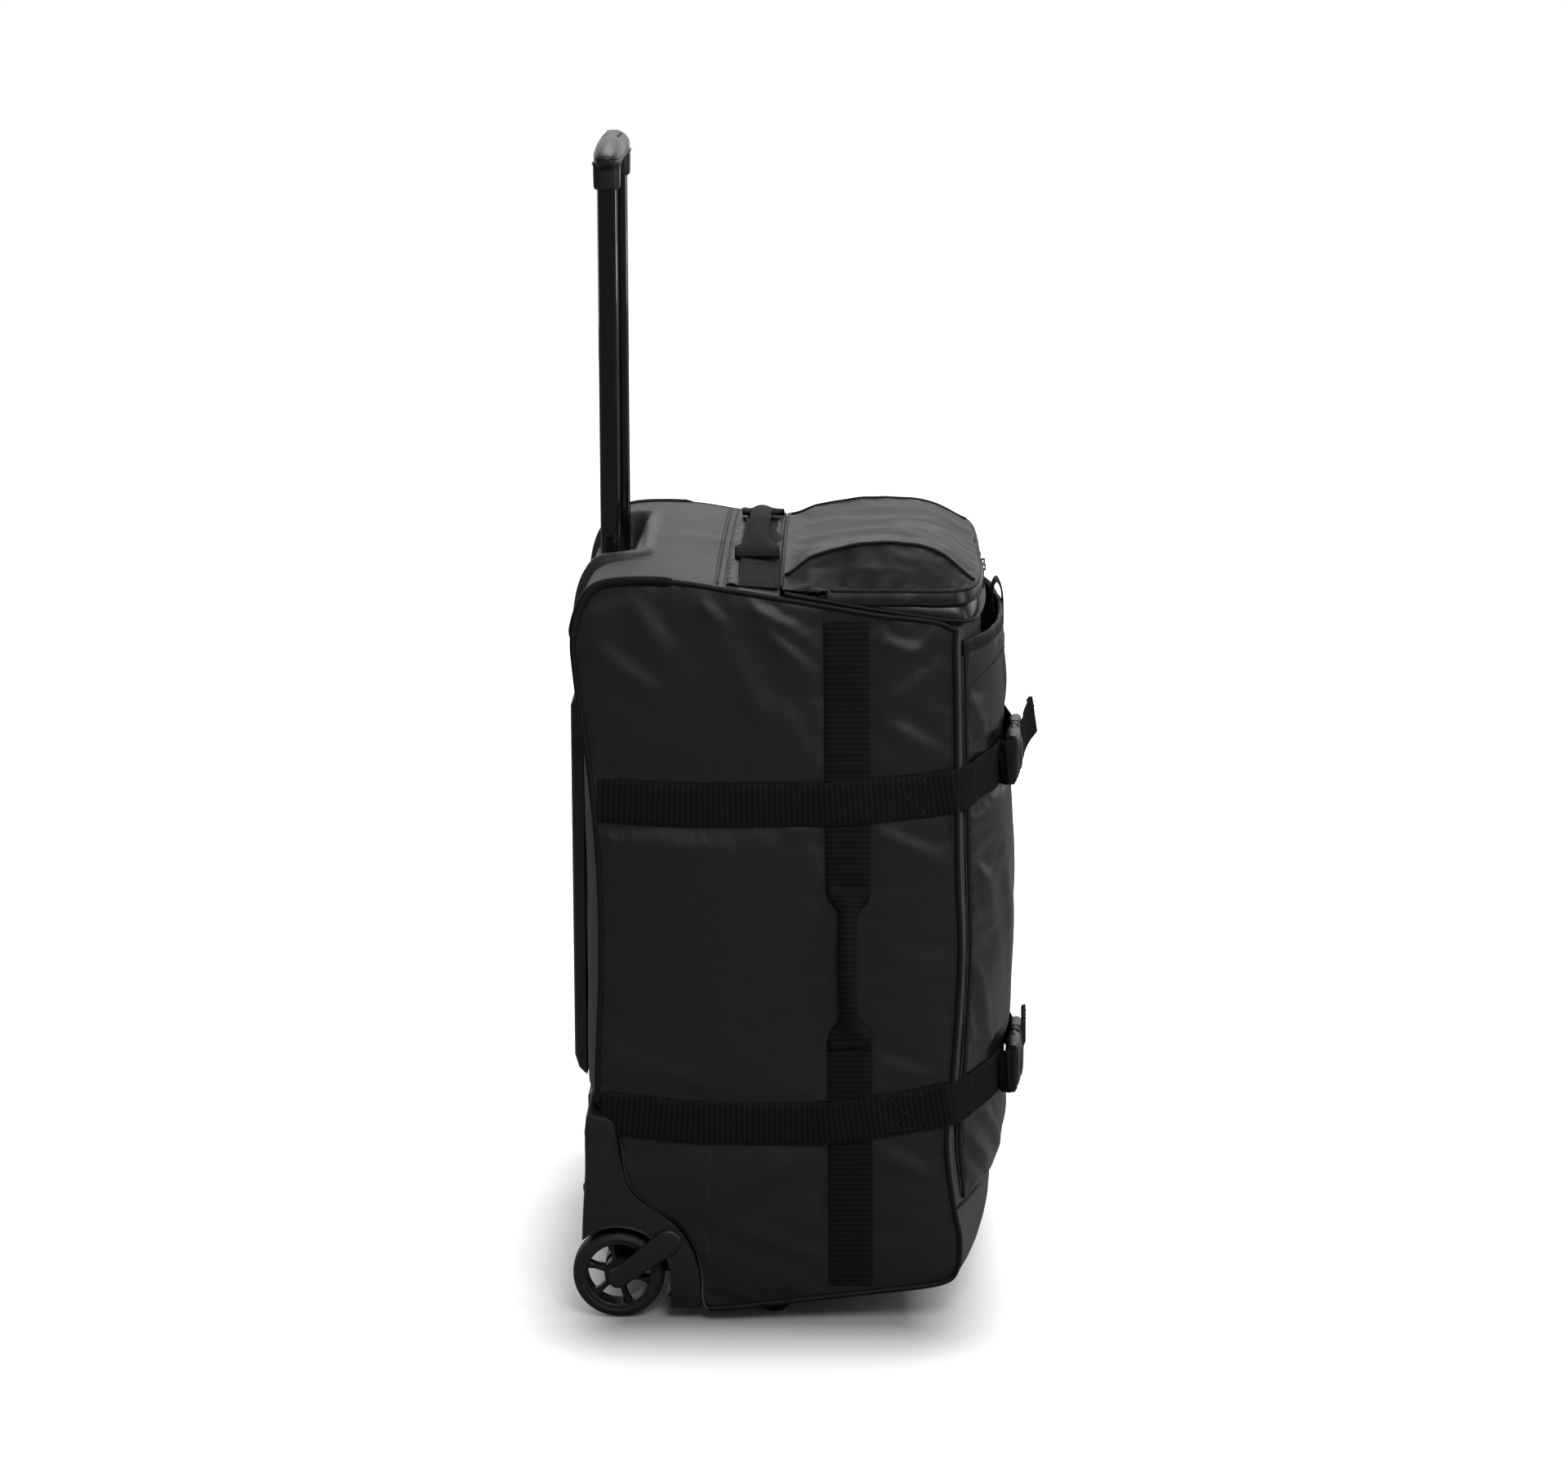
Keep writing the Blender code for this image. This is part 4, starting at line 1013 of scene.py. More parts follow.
def straps(skin, thread):
    for level, table in STRAPS.items():
        for name, sign in SIDES:
            end_x = 102 if sign < 0 else 52
            path, outs = strap_path(sign, table, skin, end_x)
            made = band(f"{level}_strap_piece_{name}", path, outs, "root")
            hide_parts(f"{level}_strap_{name}")
            box_stitch(thread, path, sign)


def box_stitch(thread, path, sign):
    """The crossed box of stitching that holds a strap down on the side."""
    inside = [p for p in path[:STRAP_STEPS + 1] if BOX_START <= p.y <= BOX_END]
    lift = Vector((sign * (THICK / 2 + 0.35), 0, 0))
    start, end = inside[0] + lift, inside[-1] + lift
    high = Vector((0, 0, WEBBING / 2 - 4))
    corners = [start + high, end + high, end - high, start - high]
    for a, b in ((0, 1), (1, 2), (2, 3), (3, 0), (0, 2), (1, 3)):
        thread.row([corners[a], corners[b]], (sign, 0, 0))


def folded_section(width, thick, fold, flat=0.62, count=14):
    """A strap's section as it is folded lengthwise: 0 is flat and 1 is closed into a tube."""
    angle = max(0.03, fold * 2 * math.pi * 0.94)
    radius = width / angle
    outer = []
    inner = []
    for k in range(count + 1):
        turn = (k / count - 0.5) * angle
        across = radius * math.sin(turn)
        drop = radius * (1 - math.cos(turn)) * flat
        lean = (math.sin(turn), math.cos(turn))
        outer.append((across + thick / 2 * lean[0], -drop + thick / 2 * lean[1]))
        inner.append((across - thick / 2 * lean[0], -drop - thick / 2 * lean[1]))
    return outer + list(reversed(inner))


def side_handle(name, sign, skin, thread):
    """The carrying handle: webbing folded lengthwise between its two sewn ends."""
    top, low = 397, 254
    steps = 90
    path = []
    folds = []
    for k in range(steps + 1):
        share = k / steps
        z = top + (low - top) * share
        y = side_webbing_y(z) - 1 + 2.5 * math.sin(math.pi * share)
        base = on_surface(skin, (sign * BESIDE, y, z), (sign, 0, 0), THICK + 1.6)
        rise = 13 * (math.sin(math.pi * share)) ** 1.3
        path.append(base + Vector((sign * rise, 0, 0)))
        folds.append(smooth_step(0.03, 0.2, share) * smooth_step(0.97, 0.8, share))
    half = steps // 2
    halves = (("upper", 0, half + 1, top - 6, 350), ("lower", half, steps + 1, low + 6, 302))
    for part, first, last, start, end in halves:
        def section(k, share, first=first):
            rib = 0.12 * math.sin(math.pi / 2 * (first + k) * 1.3)
            return folded_section(36, 2.2 + rib, 0.92 * folds[first + k])

        piece = f"side_handle_{part}_{name}"
        made = sweep(piece, path[first:last], section, (sign, 0, 0), WEB, None)
        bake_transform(made)
        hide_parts("side_handle_" + name)
    for z in (top - 4, top - 9, low + 4, low + 9):
        y = side_webbing_y(z) - 1
        x = path[0].x + sign * 1.6
        thread.row([(x, y - 15, z), (x, y + 15, z)], (sign, 0, 0))


def top_webbing(skin, thread):
    path = []
    outs = []
    for x in evenly(-181, 181, 69):
        path.append(on_surface(skin, (x, TOP_WEBBING_Y, 640), (0, 0, 1), THICK / 2 + 0.5, 60))
        slope = top_surface(x + 1, TOP_WEBBING_Y) - top_surface(x - 1, TOP_WEBBING_Y)
        outs.append(Vector((-slope / 2, -0.05 - 0.1 * crown(x), 1)))
    path = smooth_list(path, 4)
    made = band("top_webbing_piece", path, outs, "root", width=34, rib=0)
    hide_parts("top_webbing")
    for y in (-15, 15):
        line = [p + Vector((0, y, THICK / 2 + 0.6 + 0.05 * y * crown(p.x))) for p in path]
        thread.row(line, (0, 0, 1))
    for x in (-122, -84, 84, 122):
        near = min(path, key=lambda p: abs(p.x - x))
        start, end = near + Vector((0, -14, 1.2)), near + Vector((0, 14, 1.8))
        thread.row([start, end], (0, 0, 1))


def top_handle(skin):
    """The grab handle across the top, folded between its flared ends."""
    steps = 120
    reach = 108
    path = []
    folds = []
    for k in range(steps + 1):
        share = k / steps
        x = reach * (2 * share - 1)
        base = on_surface(skin, (x, TOP_WEBBING_Y, 640), (0, 0, 1), THICK + 2.2, 60)
        rise = 16 * math.sin(math.pi * share) ** 0.6 if 0 < share < 1 else 0
        path.append(base + Vector((0, 3, rise)))
        end = min(share, 1 - share)
        folds.append(smooth_step(0.03, 0.2, end) * 0.8)
    path = smooth_list(path, 4)
    half = steps // 2
    for part, first, last, start, end in (
        ("left", 0, half + 1, -100, -55), ("right", half, steps + 1, 100, 55),
    ):
        def section(k, share, first=first):
            return folded_section(38, 2.6, folds[first + k], 0.55)

        made = sweep("top_handle_" + part, path[first:last], section, (0, 0, 1), WEB, None)
        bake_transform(made)
        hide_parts("top_handle")


# ---------------------------------------------------------------- piping and seams


def ribbed_sleeve(name, sign):
    """The ridged guard over the top back corner of the side seam."""
    count = 520
    path = []
    for at in evenly(4.9, 8.05, count):
        y, z = closed_curve(SIDE_OUTLINE, at)
        path.append(Vector((sign * (HALF_WIDTH + 0.6), y, z)))
    path = even(path, count)

    def section(k, share):
        rise = 0.28 * math.sin(math.pi / 2 * k)
        end = min(1, 6 * min(share, 1 - share) + 0.7)
        return [(a * end, b * end) for a, b in round_section(4.1 + rise, 14, 0.9)]

    sweep(name, path, section, (sign, 0, 0), BINDING, "root")


def seams(thread):
    for name, sign in SIDES:
        piping("seam_piping_" + name, seam_path(sign, -0.2, 24.2, 0.8, 12), 2.3, BINDING, "root")
        ribbed_sleeve("corner_guard_" + name, sign)
        for first, last in ((8.2, 11.8), (12.3, 19.6)):
            outline = seam_path(sign, first, last, 1.1)
            inward = []
            for point in outline:
                middle = Vector((point.x, 15, 330))
                inward.append(point + (middle - point).normalized() * 5.5)
            thread.row(inward, (sign, 0, 0))
    front = [body_point(x, FRONT_TOP) + Vector((0, -0.8, 1.2)) for x in evenly(-186, 186, 60)]
    piping("front_top_piping", front, 2.0, BINDING, "root", out=(0, 0, 1))


def puckered_tape(skin, thread):
    """The gathered tape across the top, between its two seams."""
    rows = []
    for x in evenly(-184, 184, 300):
        line = []
        for share in evenly(0, 1, 6):
            y = 51 + 9.5 * share
            turn = math.pi * x / 17 + 1.5 * wobble(x, 0, 0, 31) + 0.5 * share
            pucker = 1 - 2 * (1 - abs(math.sin(turn))) ** 1.6
            pucker *= 0.9 + 0.5 * wobble(x, 3, 0, 29)
            lift = 1.2 + (1.2 + pucker) * math.sin(math.pi * share)
            line.append(on_surface(skin, (x, y, 640), (0, 0, 1), lift, 60))
        rows.append(line)
    mesh = grid_mesh("puckered_tape", rows)
    item = put("puckered_tape", mesh, FABRIC, "root")
    thicken(item, 0.8)
    for y in (60.5, 68.5):
        line = [on_surface(skin, (x, y, 640), (0, 0, 1), 0.35, 60) for x in evenly(-184, 184, 46)]
        piping(f"top_seam_{round(y)}", line, 0.8, BINDING, "root", out=(0, 0, 1))
        near = [p + Vector((0, 2.4, 0.1)) for p in line]
        thread.row(near, (0, 0, 1))


# ---------------------------------------------------------------- lid and zip

LID_CREASES = [
    ((-20, 4), (-84, -140), 15, 2.6), ((-100, -6), (-122, -96), 10, 1.3), ((60, 6), (-8, -150), 18, 2.4),
    ((126, -6), (74, -150), 14, 2.6), ((-60, -60), (-118, -136), 7, 1.4), ((20, -70), (64, -150), 8, 1.2),
    ((-166, -8), (-174, -92), 6, 1.5), ((166, -8), (174, -92), 6, 1.5),
]


def lid_point(x, share):
    y = LID_BACK_Y + (lid_front(x) - LID_BACK_Y) * share
    return Vector((x, y, RIM_Z + 0.6 + lid_height(x, share)))


def lid():
    columns, rows = 112, 60
    points = []
    held = []
    for r in range(rows + 1):
        v = r / rows
        share = math.sin(math.pi / 2 * v)
        line = []
        for c in range(columns + 1):
            u = c / columns
            x = -LID_HALF_WIDTH * math.cos(math.pi * u)
            spot = lid_point(x, share)
            free = smooth_step(0, 0.08, min(v, 1 - v)) * smooth_step(0, 0.05, min(u, 1 - u))
            seam = smooth_step(2, 14, abs(abs(x) - LID_SEAM))
            raised = sum(crease((x, spot.y), *fold) for fold in LID_CREASES)
            raised += 1.3 * wobble(x, spot.y * 0.35, 0, 24, 6.1) + 0.8 * wobble(x, spot.y, 0, 46, 2.7)
            spot.z += free * (0.3 + 0.7 * seam) * raised
            line.append(spot)
            pinned = 1.0 if edge_share(u, v) < 1e-6 else 0.0
            if abs(abs(x) - LID_SEAM) < 3:
                pinned = 0.7
            held.append(pinned)
        points.append(line)
    mesh = grid_mesh("lid_fabric", points)
    item = put("lid_fabric", mesh, FABRIC, None, (LINING, FABRIC_MATT_PAINTED_SHADE))
    # The side gussets take the darker copy of the fabric: painted shade on them.
    for face in mesh.polygons:
        if abs(face.center.x / MM) > LID_SEAM:
            face.material_index = 2
    make_cloth(item, held, 2.5, 0.012, 5)
    return item


def lid_trim(skin, thread):
    """Piping along the lid's side seams and round its rim, and the flap over the zip."""
    for name, sign in SIDES:
        line = []
        for k in range(70):
            share = 0.012 + 0.98 * k / 69
            spot = lid_point(sign * LID_SEAM, share)
            line.append(on_surface(skin, spot, (sign * 0.5, 0, 1), 0.7))
        piping("lid_seam_piping_" + name, smooth_list(line, 2), 1.5, BINDING, "lid", out=(0, 0, 1))
        inner = [p + Vector((-sign * 5, 0, 0.2)) for p in line]
        inner = [on_surface(skin, p, (0, 0, 1), 0.35) for p in inner]
        thread.row(inner, (0, 0, 1))
    rim = [p + Vector((0, 0, RIM_Z + 1.8)) for p in rim_path(0.4)]
    piping("lid_rim_piping", rim, 1.7, BINDING, "lid", out=(0, 0, 1))
    hinge = []
    for x in evenly(-176, 176, 60):
        spot = lid_point(x, 0)
        hinge.append(Vector((x, spot.y + 0.6, spot.z + 1.2)))
    piping("lid_hinge_piping", hinge, 1.5, BINDING, "root", out=(0, 0, 1))
    storm_flap()


def rim_path(out, start=-26.0, count=220, foot=False):
    """The line of the zip round the lid's sides and front, as seen from above, start being how far
    back it begins; foot gives the squarer line where the zip's band is sewn to the bag."""
    corner = []
    half = LID_HALF_WIDTH + (4.5 if foot else 0)
    for share in crowded_ends(160):
        x = half * share
        front = foot_front(x, half) if foot else lid_front(x)
        corner.append(Vector((x, front, 0)))
    line = [Vector((-half, start, 0))] + corner + [Vector((half, start, 0))]
    line = even(line, count)
    return [point + sideways(line, k) * out for k, point in enumerate(line)]


def foot_front(x, half):
    share = max(0.0, 1 - abs(x / half) ** 6) ** (1 / 6)
    return -122 + (LID_FRONT_Y + 122) * share


def slider_run(x):
    """1 where the zip's sliders pass, falling to 0 beyond."""
    return smooth_step(132, 112, abs(x))


def storm_flap():
    """The strip of fabric that hangs from the lid over the zip, its lower edge loose and wavy."""
    outline = rim_path(0.0, -22, 260)
    rows = []
    for share in evenly(0, 1, 9):
        line = []
        for k, point in enumerate(outline):
            wave = 0.8 * wobble(point.x, point.y, 0, 20, 3.3) + 0.5 * wobble(point.x, point.y, 0, 9, 8.8)
            out = 0.9 + 2.2 * math.sin(math.pi * 0.6 * share) + share * wave * 1.3
            clear = slider_run(point.x)
            drop = (12.5 + 1.6 * wobble(point.x, point.y, 0, 26, 1.1)) * (1 - clear) + 5.4 * clear
            level = Vector((0, 0, RIM_Z + 2.6 - drop * share))
            line.append(point + sideways(outline, k) * out + level)
        rows.append(line)
    mesh = grid_mesh("storm_flap", rows, flip=True)
    item = put("storm_flap", mesh, FABRIC_GLOSS, "lid")
    thicken(item, 0.9)


def zip_band(thread):
    """The band that stands round the opening, with the zip's tape and coil on it."""
    outline = rim_path(-ZIP_INSET, HINGE[1] - 3, 300)
    sewn = rim_path(-ZIP_INSET + 1, HINGE[1] - 3, 300, foot=True)
    levels = (0, 0.12, 0.3, 0.5, 0.62, 0.74, 0.86, 1)
    bulge = (0.6, 1.6, 2.4, 2.2, 1.2, 0.9, 0.8, 0.3)
    rows = []
    for level, out in zip(levels, bulge):
        line = []
        for k, point in enumerate(outline):
            low = band_foot(sewn[k])
            soft = 0.8 * wobble(point.x, point.y, level * 10, 22, 4.0) * math.sin(math.pi * level)
            clear = slider_run(point.x)
            soft = soft * (1 - clear) - 0.8 * clear * math.sin(math.pi * level)
            base = point.lerp(sewn[k], (1 - level) ** 1.4)
            height = Vector((0, 0, low + (RIM_Z - 1.2 - low) * level))
            line.append(base + sideways(outline, k) * (out + soft) + height)
        rows.append(line)
    mesh = grid_mesh("zip_band_fabric", rows)
    item = put("zip_band_fabric", mesh, FABRIC_GLOSS, "root", (LINING,))
    thicken(item, 1.4, 1)
    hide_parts("zip_band")
    foot = []
    for point in rim_path(-ZIP_INSET + 3.4, HINGE[1] - 3, 200, foot=True):
        foot.append(point + Vector((0, 0, band_foot(point) + 0.5)))
    piping("zip_band_piping", foot, 2.0, BINDING, "root", out=(0, 0, 1))
    zip_coil(thread)


def band_foot(point):
    """The height at which the band is sewn to the bag."""
    side = interpolate([(-153, 621), (-124, 622), (-61, 631), (14, 644)], point.y)
    return side + 1.4


def zip_coil(thread):
    """The nylon coil along the top of the band, one small ridge a tooth."""
    line = [p + Vector((0, 0, RIM_Z - 3.4)) for p in rim_path(-ZIP_INSET + 1.6, -18, 1400)]

    def section(k, share):
        rise = 0.24 * math.sin(math.pi * 0.5 * k)
        return round_section(1.5 + rise, 8, 0.75)

    sweep("zip_coil", line, section, (0, 0, 1), NYLON_COIL, "root")
    seam = [p + Vector((0, 0, RIM_Z - 8.2)) for p in rim_path(-ZIP_INSET + 2.6, -18, 400)]
    thread.row(seam, lambda p: Vector((p.x / 40, p.y + 60, 0)))


# ---------------------------------------------------------------- front


POCKET_CREASES = [
    ((-172, 560), (-120, 470), 9, 2.0), ((-170, 440), (-128, 330), 9, 1.8),
    ((-172, 330), (-132, 225), 8, 2.0), ((-172, 170), (-120, 120), 7, 2.2),
    ((-150, 190), (-70, 116), 7, 1.8), ((-60, 180), (-20, 118), 8, 1.6),
    ((172, 560), (112, 500), 9, 1.8), ((170, 420), (130, 330), 9, 1.6), ((172, 180), (120, 122), 8, 2.0),
    ((40, 185), (20, 118), 8, 1.6), ((90, 178), (70, 120), 7, 1.5), ((-80, 590), (-30, 520), 10, 1.4),
    ((60, 590), (20, 530), 10, 1.4), ((-20, 400), (30, 300), 16, 1.2),
    ((90, 400), (60, 280), 14, 1.2), ((-100, 400), (-70, 280), 13, 1.3),
    ((-176, 260), (-130, 240), 6, 1.2), ((-176, 520), (-140, 505), 6, 1.2),
]


def pocket_held(x, z, u, v):
    held = 1.0 if min(u, 1 - u) < 1e-6 or v < 1e-6 else 0.0
    for middle in BUCKLES.values():
        if abs(z - middle) < 21 + 0.05 * abs(x):
            held = max(held, 0.5)
    return held


def front_pocket():
    columns, rows = 90, 124
    points = []
    held = []
    for r in range(rows + 1):
        v = r / rows
        z = POCKET_BOTTOM + (POCKET_TOP - POCKET_BOTTOM) * v
        line = []
        for c in range(columns + 1):
            u = c / columns
            x = POCKET_HALF_WIDTH * (2 * u - 1)
            grip = pocket_held(x, z, u, v)
            free = smooth_step(0, 0.05, min(u, 1 - u, v * 1.4, 1.2 - v)) * (1 - 0.6 * (grip > 0))
            raised = 1.8 * sum(crease((x, z), *fold) for fold in POCKET_CREASES)
            raised += 1.5 * wobble(x * 0.8, 0, z * 0.45, 34, 5.2) + 0.8 * wobble(x, 0, z, 90, 9.4)
            sag = 2.2 * smooth_step(0.9, 1, v) * math.sin(math.pi * u)
            line.append((x, pocket_y(x, z) - free * raised - sag, z - 1.2 * sag))
            held.append(max(grip, 0.8 if v > 0.999 else 0))
        points.append(line)
    mesh = grid_mesh("pocket_fabric", points)
    item = put("pocket_fabric", mesh, FABRIC_GLOSS, None, (LINING,))
    make_cloth(item, held, 2.5, 0.012, 5)
    return item


def pocket_trim(skin, thread):
    """The pocket's bound top edge, its side seams and the loop at its middle."""
    count = 120
    top = []
    for k in range(count + 1):
        x = -POCKET_HALF_WIDTH + 2 * POCKET_HALF_WIDTH * k / count
        hit = on_front(skin, x, POCKET_TOP - 6, 0)
        top.append(Vector((x, hit.y + 0.6, POCKET_TOP - 4.5 - 3.0 * math.sin(math.pi * k / count))))

    def section(k, share):
        return superellipse(2.3, 6.2, 3.0, 18)

    made = sweep("pocket_binding_fabric", top, section, (0, 0, 1), BINDING, "root")
    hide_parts("pocket_binding")
    line = [p + Vector((0, -2.7, -3.6)) for p in top]
    thread.row(line, (0, -1, 0))
    for name, sign in SIDES:
        x = sign * (POCKET_HALF_WIDTH - 1)
        levels = evenly(POCKET_BOTTOM, POCKET_TOP, 79)
        seam = [Vector((x, pocket_y(x, z) - 0.8, z)) for z in levels]
        piping("pocket_piping_" + name, seam, 1.7, BINDING, "root", out=(sign, 0, 0))
        inner = [on_surface(skin, p + Vector((-sign * 5, 0, 0)), (0, -1, 0), 0.35) for p in seam[2:-2]]
        thread.row(inner, (0, -1, 0))
    arc = []
    for angle in evenly(0, math.pi, 59):
        x, z = -172 * math.cos(angle), 545 + 32 * math.sin(angle) ** 0.5
        arc.append(on_front(skin, x, z, 0.35))
    thread.row(arc, (0, -1, 0))
    pull_loop(top[count // 2 + 8])


def pull_loop(foot):
    """A folded loop of webbing that sticks up from the pocket's top edge."""
    path = open_curve([
        foot + Vector((0, -3.4, -16)), foot + Vector((0, -3.2, 0)), foot + Vector((0, -2.0, 14)),
        foot + Vector((0, 2.4, 23)), foot + Vector((0, 6.2, 15)), foot + Vector((0, 5.4, 2)),
        foot + Vector((0, 4.6, -12)),
    ], 60)
    runs = [run_at(path, k) for k in range(len(path))]
    outs = [Vector((0, -run.z, run.y)) for run in runs]
    band("pocket_pull_loop", path, outs, "root", width=26, thick=1.5)


def superellipse(a, b, power, count):
    """A section of half sizes a and b: an ellipse at power 2, and squarer above it."""
    made = []
    for t in turns(count):
        across, up = math.cos(t), math.sin(t)
        made.append((
            a * math.copysign(abs(across) ** (2 / power), across),
            b * math.copysign(abs(up) ** (2 / power), up),
        ))
    return made


def base_wrap():
    """The reinforced fabric that covers the bottom and the lowest part of the front."""
    def raised(x, y, z, u, v):
        return 1.5 + 0.5 * wobble(x, y, z, 40, 2.0) * smooth_step(0, 0.1, v)

    item = wrap_panel("base_fabric", BASE_TOP, 24, 60, raised, 10)
    item.data.materials[0] = FABRIC_GLOSS
    soften(item)
    thicken(item, 1.4)
    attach(item, "root")
    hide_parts("base_tray")
    line = [body_point(-186 + 6.2 * k, BASE_TOP) + Vector((0, -1.6, 0)) for k in range(61)]
    piping("base_seam_piping", line, 1.6, BINDING, "root", out=(0, 0, 1))


# ---------------------------------------------------------------- moulded parts


def rounded_ring(size_a, size_b, radius, corner_steps=6):
    """A rounded rectangle round the origin."""
    points = []
    for ca, cb, start in ((1, 1, 0), (-1, 1, 90), (-1, -1, 180), (1, -1, 270)):
        for step in range(corner_steps + 1):
            angle = math.radians(start + 90 * step / corner_steps)
            points.append((
                ca * (size_a / 2 - radius) + radius * math.cos(angle),
                cb * (size_b / 2 - radius) + radius * math.sin(angle),
            ))
    return points


def lofted(name, rings, material, body, loop=False):
    """A closed skin over rings of equal length."""
    mesh = grid_mesh(name, rings, loop_u=True, loop_v=loop)
    close_up(mesh)
    item = put(name, mesh, material, body)
    mesh.set_sharp_from_angle(angle=math.radians(38))
    return item


def turned(name, profile, material, body, sign, count=72):
    """A ring turned round a wheel's axis; the profile is (radius, place along X), closed."""
    rings = []
    for angle in turns(count):
        across, up = math.cos(angle), math.sin(angle)
        rings.append([(sign * x, WHEEL_Y + r * across, WHEEL_R + r * up) for r, x in profile])
    return lofted(name, rings, material, body, loop=True)


def wheel(name, sign):
    near, far = WHEEL_X - 12.5, WHEEL_X + 12.5
    tread = []
    for share in evenly(0, 1, 14):
        x = near + 1 + (far - near - 2) * share
        swell = (1 - abs(2 * share - 1) ** 3.2) ** (1 / 2.2)
        tread.append((33.0 + 7.0 * swell, x))
    inside = [(31.2, far - 1.6), (31.2, near + 1.6)]
    tyre = turned("tyre_ring_" + name, tread + inside, RUBBER, "wheel_" + name, sign, 96)
    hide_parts("tyre_" + name)

    rim = [
        (27.6, near + 3), (28.4, near + 2.2), (31.0, near + 2.0), (31.1, far - 2.0), (28.4, far - 2.2),
        (27.6, far - 3), (27.2, WHEEL_X + 2), (27.2, WHEEL_X - 2),
    ]
    ring = turned("wheel_rim_" + name, rim, PLASTIC, "wheel_" + name, sign)
    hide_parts("wheel_hub_" + name)
    boss = [
        (8.2, near + 3.4), (11.2, near + 3.4), (12.4, near + 5), (12.8, WHEEL_X), (12.4, far - 5),
        (11.2, far - 3.4), (8.2, far - 3.4),
    ]
    turned("wheel_boss_" + name, boss, PLASTIC, "wheel_" + name, sign, 48)
    for k in range(6):
        spoke(f"wheel_spoke_{k + 1}_{name}", 2 * math.pi * (k + 0.25) / 6, sign, "wheel_" + name)


def spoke(name, angle, sign, body):
    """One tapered spoke with a rounded face."""
    rings = []
    run = Vector((0, math.cos(angle), math.sin(angle)))
    side = Vector((0, -math.sin(angle), math.cos(angle)))
    for share in evenly(0, 1, 8):
        radius = 11 + 17.4 * share
        wide = 3.3 - 0.9 * math.sin(math.pi * min(1, share * 1.05)) + 1.6 * share**6
        deep = 6.2 - 1.2 * share
        centre = Vector((sign * WHEEL_X, WHEEL_Y, WHEEL_R)) + run * radius
        ring = superellipse(wide, deep, 3.2, 16)
        rings.append([centre + side * a + Vector((sign * b, 0, 0)) for a, b in ring])
    lofted(name, rings, PLASTIC, body)


HOUSING_OUTLINE = [
    (172, 190), (163, 187.5), (158.8, 182), (156.5, 172), (154.8, 157), (151.7, 141),
    (147.5, 127), (140.5, 115.5), (129, 106), (117, 98), (106, 88.5), (97, 76.5),
    (90.6, 63), (86.6, 50), (84.4, 38), (83.6, 26),
    (84.2, 16.5), (88, 11.6), (104, 11.2), (140, 11.2), (170, 11.2), (186.6, 11.6), (187.9, 40),
    (188.2, 71), (186.8, 103), (184.7, 137), (182.7, 189),
]


def inset_outline(points, amount):
    """An outline moved inward by an amount, its points being in either order."""
    count = len(points)
    area = sum(
        points[i][0] * points[(i + 1) % count][1] - points[(i + 1) % count][0] * points[i][1]
        for i in range(count)
    )
    turn = 1 if area > 0 else -1
    made = []
    for i in range(count):
        before, after = Vector(points[i - 1]), Vector(points[(i + 1) % count])
        run = (after - before).normalized()
        made.append(Vector(points[i]) + Vector((-run.y, run.x)) * turn * amount)
    return made


def wheel_housing(name, sign):
    """The moulded corner round a wheel, its edges rounded and its well open below."""
    outline = [closed_curve(HOUSING_OUTLINE, k / 4) for k in range(4 * len(HOUSING_OUTLINE))]
    rings = []
    for x, amount in ((128, 1.0), (129, 0), (184.2, 0), (186.2, 0.5), (187.4, 1.5), (187.9, 2.9)):
        ring = []
        for p in inset_outline(outline, amount):
            proud = 4.6 * smooth_step(118, 160, p.y) + 4.2 * smooth_step(150, 172, p.y)
            ring.append((sign * (x + (proud if x > 180 else 0)), p.x, p.y))
        rings.append(ring)
    item = lofted("housing_" + name, rings, PLASTIC, "root")
    start = WHEEL_X - 15.5
    well = []
    for t in turns(64):
        y, z = WHEEL_Y + 45.5 * math.cos(t), WHEEL_R + 45.5 * math.sin(t)
        well.append((y, z if z > WHEEL_R else -20))
    window = []
    for radius, degrees in ((50, range(-172, 59, 5)), (13, range(58, -173, -5))):
        for turn in degrees:
            t = math.radians(turn)
            window.append((WHEEL_Y + radius * math.cos(t), WHEEL_R + radius * math.sin(t)))
    subtract(item, prism(well, sign * start, sign * 200))
    subtract(item, prism(window, sign * 120, sign * (start + 1)))
    item.data.set_sharp_from_angle(angle=math.radians(30))
    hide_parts("wheel_housing_" + name)
    lip = []
    for t in evenly(0.92, 0.95 * math.pi, 48):
        y, z = WHEEL_Y + 46.6 * math.cos(t), WHEEL_R + 46.6 * math.sin(t)
        lip.append(Vector((sign * 187.6, y, z)))
    piping("well_lip_" + name, lip, 1.1, PLASTIC, "root", out=(sign, 0, 0))
    arm(name, sign)
    screws(name, sign)


def prism(outline, first_x, last_x):
    """A bmesh, in metres, of an outline drawn out along X."""
    work = bmesh.new()
    rows = [[work.verts.new(Vector((x, y, z)) * MM) for y, z in outline] for x in (first_x, last_x)]
    for i in range(len(outline)):
        j = (i + 1) % len(outline)
        work.faces.new((rows[0][i], rows[0][j], rows[1][j], rows[1][i]))
    work.faces.new(list(reversed(rows[0])))
    work.faces.new(rows[1])
    bmesh.ops.recalc_face_normals(work, faces=work.faces)
    return work


